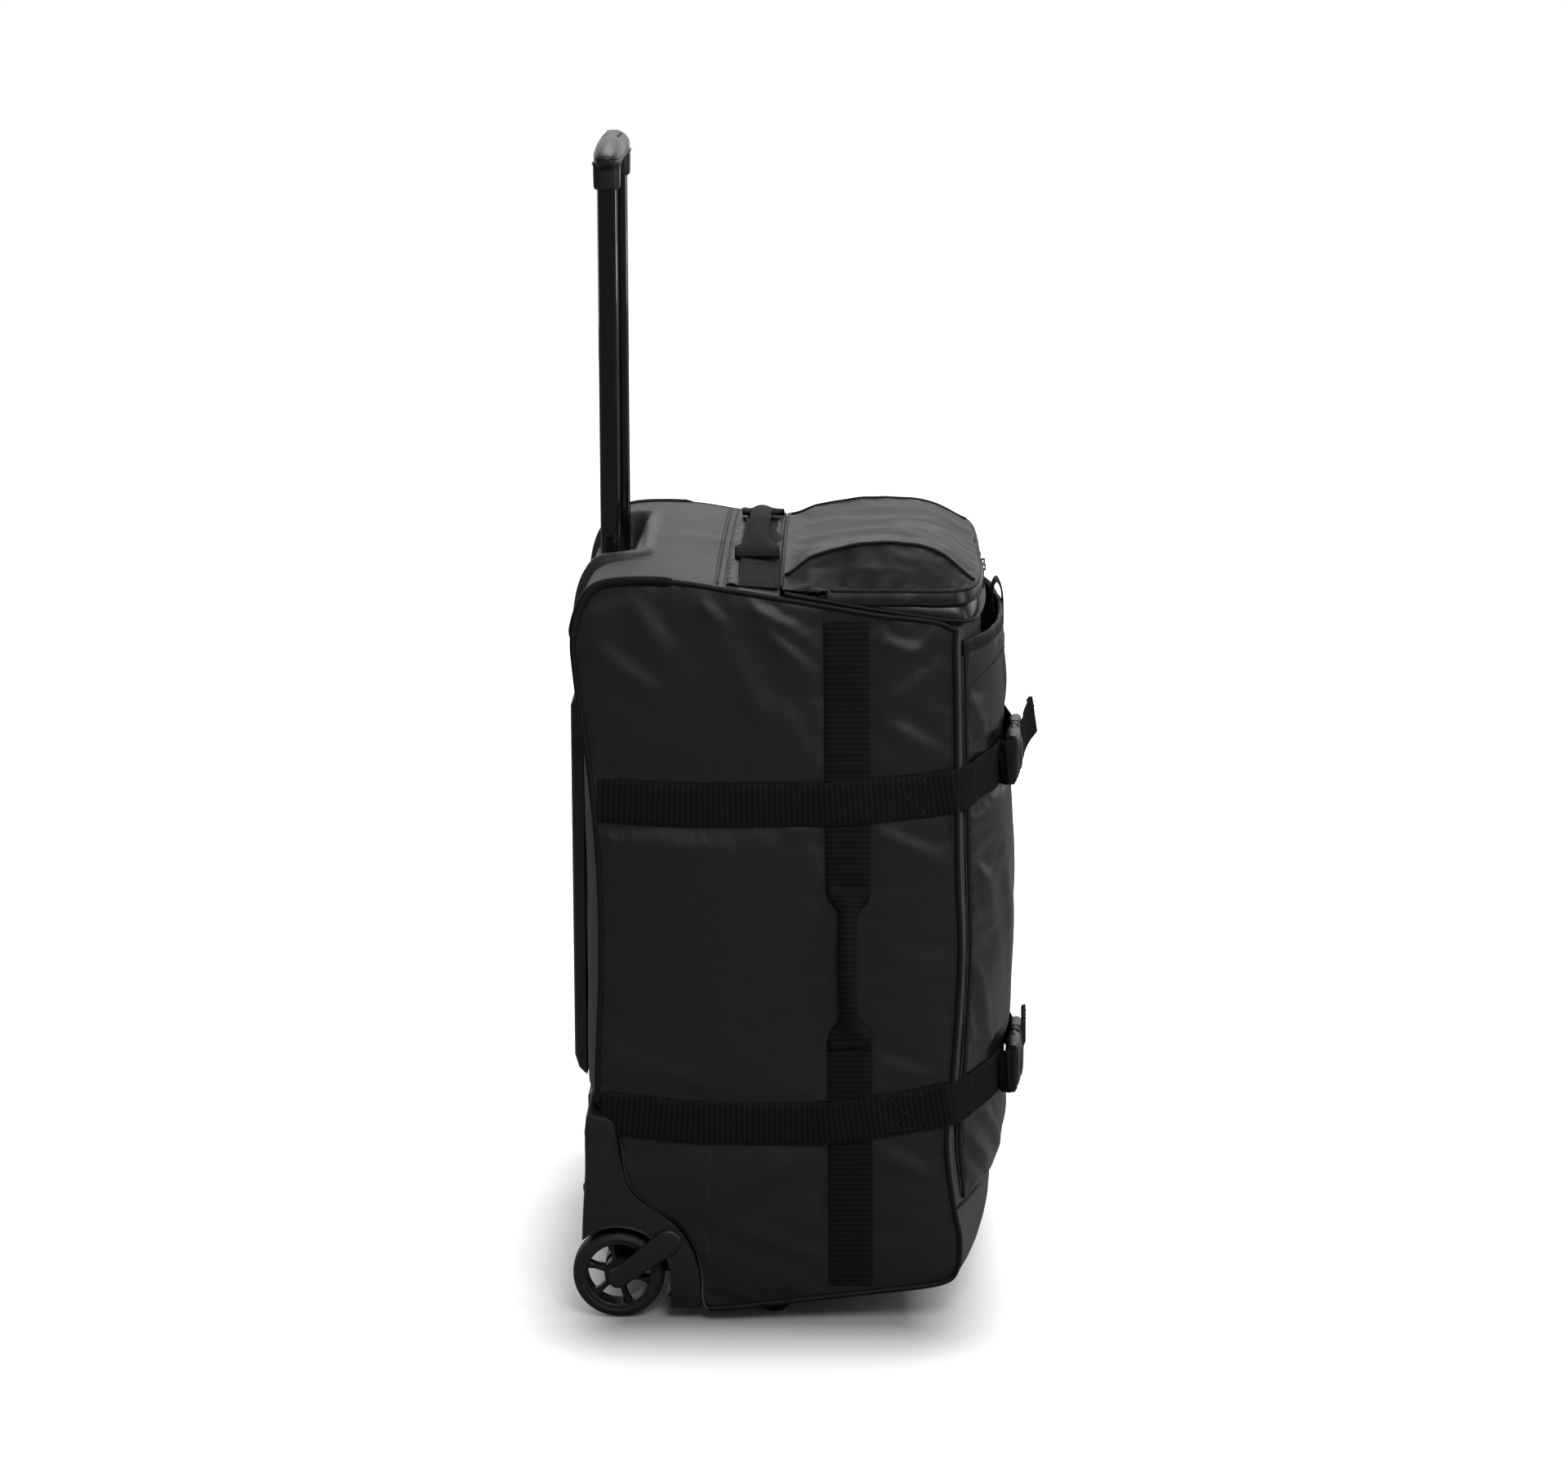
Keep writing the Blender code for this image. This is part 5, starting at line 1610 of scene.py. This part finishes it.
def subtract(item, work):
    """Cuts a bmesh, in metres, out of a piece."""
    mesh = bpy.data.meshes.new(item.name + "_cutter")
    work.to_mesh(mesh)
    work.free()
    tool = bpy.data.objects.new(mesh.name, mesh)
    bpy.context.scene.collection.objects.link(tool)
    change = item.modifiers.new("cut", "BOOLEAN")
    change.object = tool
    change.solver = "EXACT"
    apply_modifiers(item)
    bpy.data.objects.remove(tool)


def capsule(start, end, first, last, inset):
    """The outline of two discs of different sizes joined by straight sides."""
    run = (end - start).normalized()
    side = Vector((-run.y, run.x))
    made = []
    for centre, radius, turn in ((start, first, 90), (end, last, -90)):
        for k in range(21):
            angle = math.radians(turn + 180 * k / 20)
            made.append(centre + (run * math.cos(angle) + side * math.sin(angle)) * (radius - inset))
    return made


def arm(name, sign):
    """The bridge over the wheel that carries the axle's outer end, with its softened edge."""
    start, end = Vector((113, 74)), Vector((WHEEL_Y, WHEEL_R))
    rings = []
    for x, inset in ((187.2, 0.8), (188.6, 0.2), (190.8, 0), (192.2, 0.5), (193.1, 1.6), (193.5, 3.2)):
        rings.append([(sign * x, p.x, p.y) for p in capsule(start, end, 11.4, 8.6, inset)])
    item = lofted("arm_cover_" + name, rings, PLASTIC, "root")
    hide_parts("axle_arm_" + name)


SCREWS = ((146, 184.4, 168), (174, 184.4, 168), (146, 187.2, 74), (174, 186.0, 118))


def screws(name, sign):
    """The cross-headed screws that hold the housing to the bag's back."""
    for index, (x, y, z) in enumerate(SCREWS):
        rings = []
        centre = Vector((sign * x, y, z))
        for radius, out in ((3.6, -1), (3.6, 0.5), (3.0, 1.1), (1.4, 1.25), (0.9, 0.5)):
            ring = []
            for k, t in enumerate(turns(24)):
                grip = 0.7 if radius < 1.5 and k % 6 < 3 else 1
                across, up = radius * grip * math.cos(t), radius * grip * math.sin(t)
                ring.append(centre + Vector((across, out, up)))
            rings.append(ring)
        lofted(f"housing_screw_{index + 1}_{name}", rings, GUNMETAL, "root")


CUP_HALF = 96.5
CUP_OUT = 111
CUP_FLOOR = 632
CUP_ROUND = 14
CUP_LENGTH = 118
CUP_FLANGE = 12.2
CUP_START, CUP_END = 4.55, 7.45  # places on the outline


def cup_profile(at):
    """The bag's skin behind the tubes, as (y, z), from the back's top over the corner forward."""
    y, z = closed_curve(MIDDLE_OUTLINE, CUP_START + (CUP_END - CUP_START) * at)
    return Vector((y, z))


def rounded_inside(side, ahead, radius):
    """How far inside a corner's two edges a point lies, the corner itself being rounded."""
    a, b = radius - side, radius - ahead
    return radius - math.hypot(a, b) if a > 0 and b > 0 else min(side, ahead)


def handle_cup():
    """The moulded recess for the grip: a floor, a sloping front wall and a rolled flange round it."""
    rows, columns = 84, 148
    points = []
    for r in range(rows + 1):
        at = r / rows * 1.12
        base = cup_profile(min(at, 1.0))
        if at > 1:
            base += Vector((-(at - 1) * CUP_LENGTH, 0.0))
        run = cup_profile(min(1, at + 0.01)) - cup_profile(max(0, min(1, at) - 0.01))
        normal = Vector((run.y, -run.x)).normalized()
        ahead = (1.0 - at) * CUP_LENGTH
        line = []
        for c in range(columns + 1):
            x = CUP_OUT * (2 * c / columns - 1)
            side = CUP_HALF - abs(x)
            inside = rounded_inside(side, ahead, CUP_ROUND)
            rim = math.sin(math.pi * min(1.0, max(0.0, (inside + 13) / 14))) ** 0.7
            proud = 9.0 - 2.8 * smooth_step(0.7, 0.95, at)
            spot = base + normal * (proud * rim - 1.2)
            depth = smooth_step(0, 4, side) * smooth_step(-1, 13, ahead) * smooth_step(-1, 4, inside)
            back = 2.4 * smooth_step(0.6, 0.4, at)
            spot = spot.lerp(Vector((base.x + back, min(CUP_FLOOR, base.y - 1.2))), depth)
            line.append((x, spot.x, spot.y))
        points.append(line)
    # The whole cup takes the lighter plastic, painted light for its lit wall.
    item = put("cup_shell", grid_mesh("cup_shell", points), CUP_PLASTIC_PAINTED_LIGHT, "root")
    thicken(item, 1.6)
    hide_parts("handle_cup")
    cup_shade_cord()
    for name, sign in SIDES:
        rings = []
        for size, z in ((5.4, -3), (5.2, 0.8), (4.2, 1.6), (1.3, 1.6), (1.3, -3)):
            ring = rounded_ring(20 + 2 * size, 16 + 2 * size, 5 + size * 0.8)
            rings.append([(sign * TUBE_X + a, TUBE_Y + b, CUP_FLOOR + z) for a, b in ring])
        lofted("tube_collar_" + name, rings, PLASTIC, "root", loop=True)


def cup_shade_cord():
    """A dark cord round the cup's flange where it meets the bag: painted shade, standing in for the
    shaded gap there.
    """
    straight, bend = CUP_HALF - CUP_ROUND, CUP_ROUND + CUP_FLANGE
    plan = [
        (CUP_HALF + CUP_FLANGE, CUP_LENGTH + (CUP_ROUND - CUP_LENGTH) * k / 40) for k in range(40)
    ]
    for k in range(13):
        turn = math.pi / 2 * k / 12
        plan.append((straight + bend * math.cos(turn), CUP_ROUND - bend * math.sin(turn)))
    plan += [(straight * (1 - k / 20), -CUP_FLANGE) for k in range(1, 21)]
    edge = []
    for x, ahead in plan:
        at = 1 - ahead / CUP_LENGTH
        base = cup_profile(min(at, 1.0))
        edge.append(Vector((x, base.x - max(0.0, at - 1) * CUP_LENGTH, base.y + 1.0)))
    mirrored = [Vector((-p.x, p.y, p.z)) for p in reversed(edge[:-1])]
    piping("cup_shade_cord", edge + mirrored, 1.2, BINDING, "root", out=(0, 0, 1))


GRIP_TOP = 1012.3


def grip_arch(x):
    """How far the grip's top has fallen at a place along it."""
    return 9 * (abs(x) / 90) ** 2.2


def grip():
    """The grip's two shells, domed at both ends, and its button."""
    half = 93
    upper = []
    lower = []
    for share in crowded_ends(60):
        x = half * share
        end = (1 - abs(share) ** 7) ** (1 / 2.4)
        top = GRIP_TOP - grip_arch(x)
        wide = 11.7 * (0.12 + 0.88 * end)
        high = top - 996
        ring = []
        for i in range(25):
            t = math.pi * i / 24
            ring.append((x, TUBE_Y + wide * math.cos(t), 996.2 + high * end * math.sin(t) ** 0.82))
        upper.append(ring)
        deep = (10.4 - 2.4 * dome(x, 58)) * end + 0.1
        ring = []
        for i in range(25):
            t = math.pi * i / 24
            ring.append((x, TUBE_Y + wide * math.cos(t) * 0.985, 995.5 - deep * math.sin(t) ** 0.55))
        lower.append(ring)
    top_shell = lofted("grip_top_shell", upper, GRIP_PLASTIC, "trolley")
    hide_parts("grip_upper_shell")
    slot = prism(rounded_ring(14.8, 30, 5.5, 8), -25.3, 25.3)
    bmesh.ops.translate(slot, verts=slot.verts, vec=Vector((0, TUBE_Y, 1015)) * MM)
    subtract(top_shell, slot)
    top_shell.data.set_sharp_from_angle(angle=math.radians(35))
    bottom_shell = lofted("grip_bottom_shell", lower, PLASTIC, "trolley")
    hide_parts("grip_lower_shell")
    for name, sign in SIDES:
        rings = []
        for inset, z in ((1.6, 969.6), (0.5, 970.4), (0, 972), (-0.3, 984), (-0.2, 989), (-1.4, 992)):
            ring = rounded_ring(25 - 2 * inset, 22 - 2 * inset, 7)
            rings.append([(sign * TUBE_X + a, TUBE_Y + b, z) for a, b in ring])
        lofted("grip_socket_" + name, rings, PLASTIC, "trolley")
    button()


def button():
    """The push button, its top following the grip's arch with a shallow thumb hollow."""
    columns, rows = 40, 16
    points = []
    for r in range(rows + 1):
        line = []
        for c in range(columns + 1):
            u, v = 2 * c / columns - 1, 2 * r / rows - 1
            x, y = 24.6 * u, 6.7 * v
            edge = max(abs(u) ** 8, abs(v) ** 6)
            z = GRIP_TOP - grip_arch(x) - 1.1 * (y / 6.7) ** 2 + 0.7 - 1.6 * edge - 0.5 * dome(x, 17)
            ring_x = x if abs(v) < 0.8 else x * (1 - 0.06 * (abs(v) - 0.8) * 5)
            line.append((ring_x, TUBE_Y + y, z))
        points.append(line)
    item = put("button_top", grid_mesh("button_top", points), PLASTIC, "button")
    thicken(item, 6)
    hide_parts("grip_button")


def buckle_frame(z):
    y = pocket_y(BUCKLE_X, z) - 9.9
    return Matrix.Translation((BUCKLE_X, y, z)) @ Matrix.Rotation(BUCKLE_TILT, 4, "Z")


def ring_at(place, x, y, z, ring):
    """A section set across a buckle's length, as points in the CAD's frame."""
    return [place @ Vector((x, y + a, z + b)) for a, b in ring]


def buckle(level, z, skin):
    """A side-release buckle: the socket's lens-shaped cover, the clip with its ladder, and the
    strap ends that run into both."""
    place = buckle_frame(z)
    rings = []
    for share in crowded_ends(24):
        x = -16 + 26 * share
        end = (1 - abs(share) ** 5) ** (1 / 2.6)
        high = 20.4 + 1.6 * dome(share, 1)
        deep = 6.3 + 1.3 * dome(share, 1)
        ring = superellipse(deep * (0.3 + 0.7 * end), high * (0.55 + 0.45 * end), 3.0, 36)
        rings.append(ring_at(place, x, 0, 0, ring))
    cover = lofted("buckle_body_" + level, rings, BUCKLE_PLASTIC, "root")
    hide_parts("buckle_socket_" + level)
    lens = []
    for share in crowded_ends(16):
        end = math.sqrt(max(0.0, 1 - share**2))
        ring = superellipse(1.8 * end + 0.01, 13.5 * end + 0.01, 2.0, 28)
        lens.append(ring_at(place, -17 + 15 * share, -7.2, 0, ring))
    lofted("buckle_lens_" + level, lens, BUCKLE_PLASTIC, "root")
    for name, sign in SIDES:
        bump = []
        for share in crowded_ends(12):
            end = math.sqrt(max(0.0, 1 - share**2))
            ring = superellipse(2.7 * end + 0.01, 2.6 * end + 0.01, 2.4, 18)
            bump.append(ring_at(place, -7 + 9 * share, 0, sign * 20.4, ring))
        lofted(f"buckle_prong_{level}_{name}", bump, BUCKLE_PLASTIC, "clip_" + level)
    bar(f"buckle_bar_{level}", place, -40.2, "root")
    for end_name, side in (("low", -1), ("high", 1)):
        post = []
        for x, size in ((-42, 2.2), (-38, 2.6), (-30, 3.4)):
            ring = superellipse(3.0 + 0.2 * size, size, 3, 16)
            post.append(ring_at(place, x, 0, side * 19.6, ring))
        lofted(f"buckle_post_{level}_{end_name}", post, BUCKLE_PLASTIC, "root")
    clip(level, place)
    strap_ends(level, z, place, skin)


def bar(name, place, x, body, radius=2.3, half=20.5):
    rings = []
    for k in range(2):
        ring = superellipse(radius, radius * 0.8, 2.6, 16)
        rings.append([place @ Vector((x + a, b, half * (2 * k - 1))) for a, b in ring])
    lofted(name, rings, BUCKLE_PLASTIC, body)


def clip(level, place):
    """The clip's shoulder and its ladder of bars."""
    rings = []
    for x, deep, high in (
        (10.4, 4.6, 18.5), (11, 5.4, 20.2), (14, 6.0, 21.2), (18, 5.6, 21.4), (19.6, 4.6, 21),
    ):
        rings.append(ring_at(place, x, 0, 0, superellipse(deep, high, 3.4, 36)))
    shoulder = lofted("clip_shoulder_" + level, rings, BUCKLE_PLASTIC, "clip_" + level)
    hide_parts("buckle_clip_" + level)
    for end_name, side in (("low", -1), ("high", 1)):
        rail = []
        for x, deep in ((18, 4.2), (26, 4.6), (36, 4.8), (42, 3.8), (43, 2.6)):
            rail.append(ring_at(place, x, 0, side * 19.4, superellipse(deep, 2.4, 3, 16)))
        lofted(f"clip_rail_{level}_{end_name}", rail, BUCKLE_PLASTIC, "clip_" + level)
    for index, (x, radius) in enumerate(((29.5, 2.6), (40.8, 2.4))):
        bar(f"clip_bar_{level}_{index + 1}", place, x, "clip_" + level, radius, 19.5)


TAIL = ((28, -3.6, 0), (34, -5.6, 0.5))
TAILS = {
    "upper": TAIL + (
        (42, -6.6, 1.5), (50, -7.0, 3), (60, -8.6, 6.5), (70, -11.2, 10), (79, -14.6, 13.5),
    ),
    "lower": TAIL + ((42, -6.0, 1), (52, -5.4, 2), (64, -5.0, 3.5), (76, -6.4, 5)),
}


def strap_ends(level, z, place, skin):
    """The strap looped round the socket's bar, and the one through the clip's ladder with its tail."""
    table = STRAPS[level]
    low = strap_z(table, pocket_y(-102, z))
    start = on_front(skin, -101, low, 2.0)
    round_bar = [place @ Vector(p) for p in (
        (-52, 3.0, 0), (-44, 3.4, 0), (-40.2, 4.0, 0), (-37.0, 1.8, 0),
        (-36.6, -0.8, 0), (-39, -3.4, 0), (-43, -3.6, 0), (-50, -0.2, 0),
    )]
    loop = open_curve([start] + round_bar + [on_front(skin, -108, low, 4.4)], 90)
    ends_loop(f"strap_loop_{level}", loop, "root")

    first = on_front(skin, 54, strap_z(table, -160), 2.1)
    first.z = z
    line = [first, on_front(skin, 30, z, 2.6), place @ Vector((50, 4.2, 0))]
    line += [place @ Vector(p) for p in (
        (43, 5.2, 0), (35, 3.0, 0), (30, -2.8, 0), (26.2, -1.6, 0), (26.4, 3.6, 0),
    )]
    through = open_curve(line, 90)
    made = ends_loop(f"strap_through_{level}", through, None)
    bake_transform(made)
    tail = open_curve([place @ Vector(p) for p in TAILS[level]], 80)
    ends_loop(f"strap_tail_{level}", tail, "clip_" + level)
    hem = [p + Vector((0, 1.7, 0)) for p in tail[-9:]]
    ends_loop(f"strap_hem_{level}", hem, "clip_" + level)
    edge = tail[-6] + Vector((0, -1.2, 0))
    stitched = Stitching(f"tail_stitching_{level}", "clip_" + level)
    stitched.row([edge + Vector((0, 0, -15)), edge + Vector((0, 0, 15))], (0, -1, 0))
    stitched.sew()


def ends_loop(name, path, body):
    """A short run of webbing whose outward way turns with it, starting towards the front."""
    return band(name, path, [sideways(path, k) for k in range(len(path))], body)


def bevelled(*node_names):
    """Rounds the edges of CAD nodes that stay in view; a name stands for all that start with it."""
    for start in node_names:
        for name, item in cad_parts.items():
            if not name.startswith(start):
                continue
            join = item.modifiers.new("join", "WELD")
            join.merge_threshold = 0.02 * MM
            edge = item.modifiers.new("edge", "BEVEL")
            edge.width = 0.8 * MM
            edge.segments = 3
            edge.limit_method = "ANGLE"
            edge.angle_limit = math.radians(35)
            edge.harden_normals = False
            item.data.shade_smooth()


def zip_pullers():
    """The ridged grip moulded over the lower end of each slider's tab."""
    for name, sign in SIDES:
        low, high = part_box("zip_puller_" + name)
        centre = (low + high) / 2 / MM
        rings = []
        top, bottom = high.z / MM - 4.5, low.z / MM
        for share in evenly(0, 1, 28):
            z = top + (bottom - top) * share
            ridge = 0.22 * math.sin(2 * math.pi * share * 7) if 0.3 < share < 0.9 else 0
            wide = 2.2 + 1.1 * smooth_step(0.1, 0.35, share) + ridge
            end = (1 - abs(2 * share - 1) ** 12) ** 0.5 + 0.02
            ring = superellipse(wide * end, (1.3 + ridge * 0.4) * end, 3, 20)
            rings.append([(centre.x + a, centre.y + b, z) for a, b in ring])
        lofted("pull_tab_" + name, rings, BINDING, "puller_" + name)


def tube_trim(name, sign):
    """Two slim beads down the front and the back of each inner tube."""
    for face_name, face in (("front", -1), ("back", 1)):
        for mark, offset in (("a", -2.6), ("b", 2.6)):
            x, y = sign * TUBE_X + offset, TUBE_Y + face * 7.95
            line = [Vector((x, y, z)) for z in (583, 700, 850, 969)]
            piece = f"tube_bead_{face_name}_{mark}_{name}"
            piping(piece, line, 0.5, TUBE, "trolley", out=(0, face, 0))


# ---------------------------------------------------------------- stage, lights and camera


def area_light(name, place, target, size, power, size_y=None):
    lamp = bpy.data.lights.new(name, "AREA")
    lamp.shape = "RECTANGLE"
    lamp.size = size
    lamp.size_y = size_y or size
    lamp.energy = power
    item = bpy.data.objects.new(name, lamp)
    item.location = place
    item.rotation_euler = (Vector(target) - item.location).to_track_quat("-Z", "Y").to_euler()
    bpy.context.scene.collection.objects.link(item)


def studio():
    scene = bpy.context.scene
    scene.view_settings.view_transform = "Standard"
    world = bpy.data.worlds.new("studio")
    scene.world = world
    world.use_nodes = True
    tree = world.node_tree
    tree.nodes.clear()
    path = add_node(tree, "ShaderNodeLightPath")
    place = add_node(tree, "ShaderNodeTexCoord").outputs["Generated"]
    way = add_node(tree, "ShaderNodeSeparateXYZ", {"Vector": place}).outputs
    backdrop = add_node(tree, "ShaderNodeMapRange", {
        "Value": way["X"], "From Min": 0.35, "From Max": 0.85, "To Min": 0.0, "To Max": 0.85})
    ceiling = add_node(tree, "ShaderNodeMapRange", {
        "Value": way["Z"], "From Min": 0.1, "From Max": 0.9, "To Min": 0.12, "To Max": 0.30})
    both = add_node(tree, "ShaderNodeMath", {
        0: backdrop.outputs["Result"], 1: ceiling.outputs["Result"]}, operation="ADD")
    seen = add_node(tree, "ShaderNodeMix", {
        "Factor": path.outputs["Is Camera Ray"], "A": both.outputs["Value"], "B": 1.0})
    light = add_node(tree, "ShaderNodeBackground", {
        "Color": (1, 1, 1, 1), "Strength": seen.outputs["Result"]})
    out = add_node(tree, "ShaderNodeOutputWorld")
    tree.links.new(light.outputs["Background"], out.inputs["Surface"])

    floor = bpy.data.meshes.new("floor")
    corners = [(6 * x, 6 * y, 0) for x, y in ((-1, -1), (1, -1), (1, 1), (-1, 1))]
    floor.from_pydata(corners, [], [(0, 1, 2, 3)])
    item = bpy.data.objects.new("floor", floor)
    scene.collection.objects.link(item)
    floor.materials.append(floor_finish())

    area_light("overhead", (1.0, -0.2, 2.6), (0, 0, 0.3), 1.4, 20)
    area_light("side_fill", (-2.1, -0.6, 2.4), (0, 0, 0.2), 1.1, 32)
    area_light("front_strip", (-0.9, -2.3, 1.1), (0, 0, 0.4), 0.6, 13, 1.8)


def camera():
    """The photograph's view: 13.3 degrees down, 1.2 degrees round from the bag's left side."""
    data = bpy.data.cameras.new("camera")
    data.sensor_width = 36
    data.lens = 87.56
    item = bpy.data.objects.new("camera", data)
    bpy.context.scene.collection.objects.link(item)
    item.location = (-3.2993, -0.0524, 1.264)
    down, turn = math.radians(13.3), math.radians(1.2)
    look = Vector((math.cos(turn) * math.cos(down), math.sin(turn) * math.cos(down), -math.sin(down)))
    item.rotation_euler = look.to_track_quat("-Z", "Y").to_euler()
    bpy.context.scene.camera = item


def dress_cad():
    """Gives the CAD nodes that stay in view their finishes."""
    finishes = {
        "inner_tube": TUBE, "outer_tube": TUBE, "latch_block": PLASTIC, "lock_pin": STEEL,
        "push_rod": STEEL, "button_spring": STEEL, "axle": STEEL, "wheel_bearing": STEEL,
        "axle_arm": PLASTIC, "tyre": RUBBER, "base_crossbar": PLASTIC, "frame_sheet": SPARE_PLASTIC,
        "zip_slider": GUNMETAL, "front_pocket": FABRIC_GLOSS, "bag_shell": FABRIC, "lid_panel": FABRIC,
        "zip_band": BINDING, "side_webbing": WEB, "upper_strap": WEB, "lower_strap": WEB,
        "side_handle": WEB, "top": WEB, "pocket_binding": BINDING,
    }
    for name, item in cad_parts.items():
        found = PLASTIC
        for start, finish in finishes.items():
            if name.startswith(start):
                found = finish
        item.data.materials.clear()
        item.data.materials.append(found)


camera()
studio()
dress_cad()
panels = body_panels()
side_left, side_right, back_panel, top_panel, front_panel, bottom_panel = panels
lid_cloth = lid()
pocket_cloth = front_pocket()
run_cloths()
for cloth in panels + [lid_cloth, pocket_cloth]:
    soften(cloth)
    thicken(cloth, 1.5, 1)
    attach(cloth, "lid" if cloth is lid_cloth else "root")
for panel in panels:
    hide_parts("bag_shell")
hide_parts("lid_panel")
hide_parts("front_pocket")

body_thread = Stitching("body_stitching", "root")
lid_thread = Stitching("lid_stitching", "lid")
skins = {"left": tree_of(side_left), "right": tree_of(side_right)}
top_skin = tree_of(top_panel)
front_skin = tree_of(pocket_cloth, front_panel)
lid_skin = tree_of(lid_cloth)
for name, sign in SIDES:
    side_webbing(name, sign, skins[name])
both_sides = tree_of(side_left, side_right, pocket_cloth, front_panel)
straps(both_sides, body_thread)
for name, sign in SIDES:
    side_handle(name, sign, skins[name], body_thread)
top_webbing(top_skin, body_thread)
top_handle(top_skin)
seams(body_thread)
puckered_tape(top_skin, body_thread)
lid_trim(lid_skin, lid_thread)
zip_band(body_thread)
pocket_trim(front_skin, body_thread)
base_wrap()
for name, sign in SIDES:
    wheel(name, sign)
    wheel_housing(name, sign)
    tube_trim(name, sign)
handle_cup()
grip()
for level, z in BUCKLES.items():
    buckle(level, z, front_skin)
zip_pullers()
bevelled("skid_rail", "foot", "base_crossbar", "tube_bracket", "zip_slider")
body_thread.sew()
lid_thread.sew()
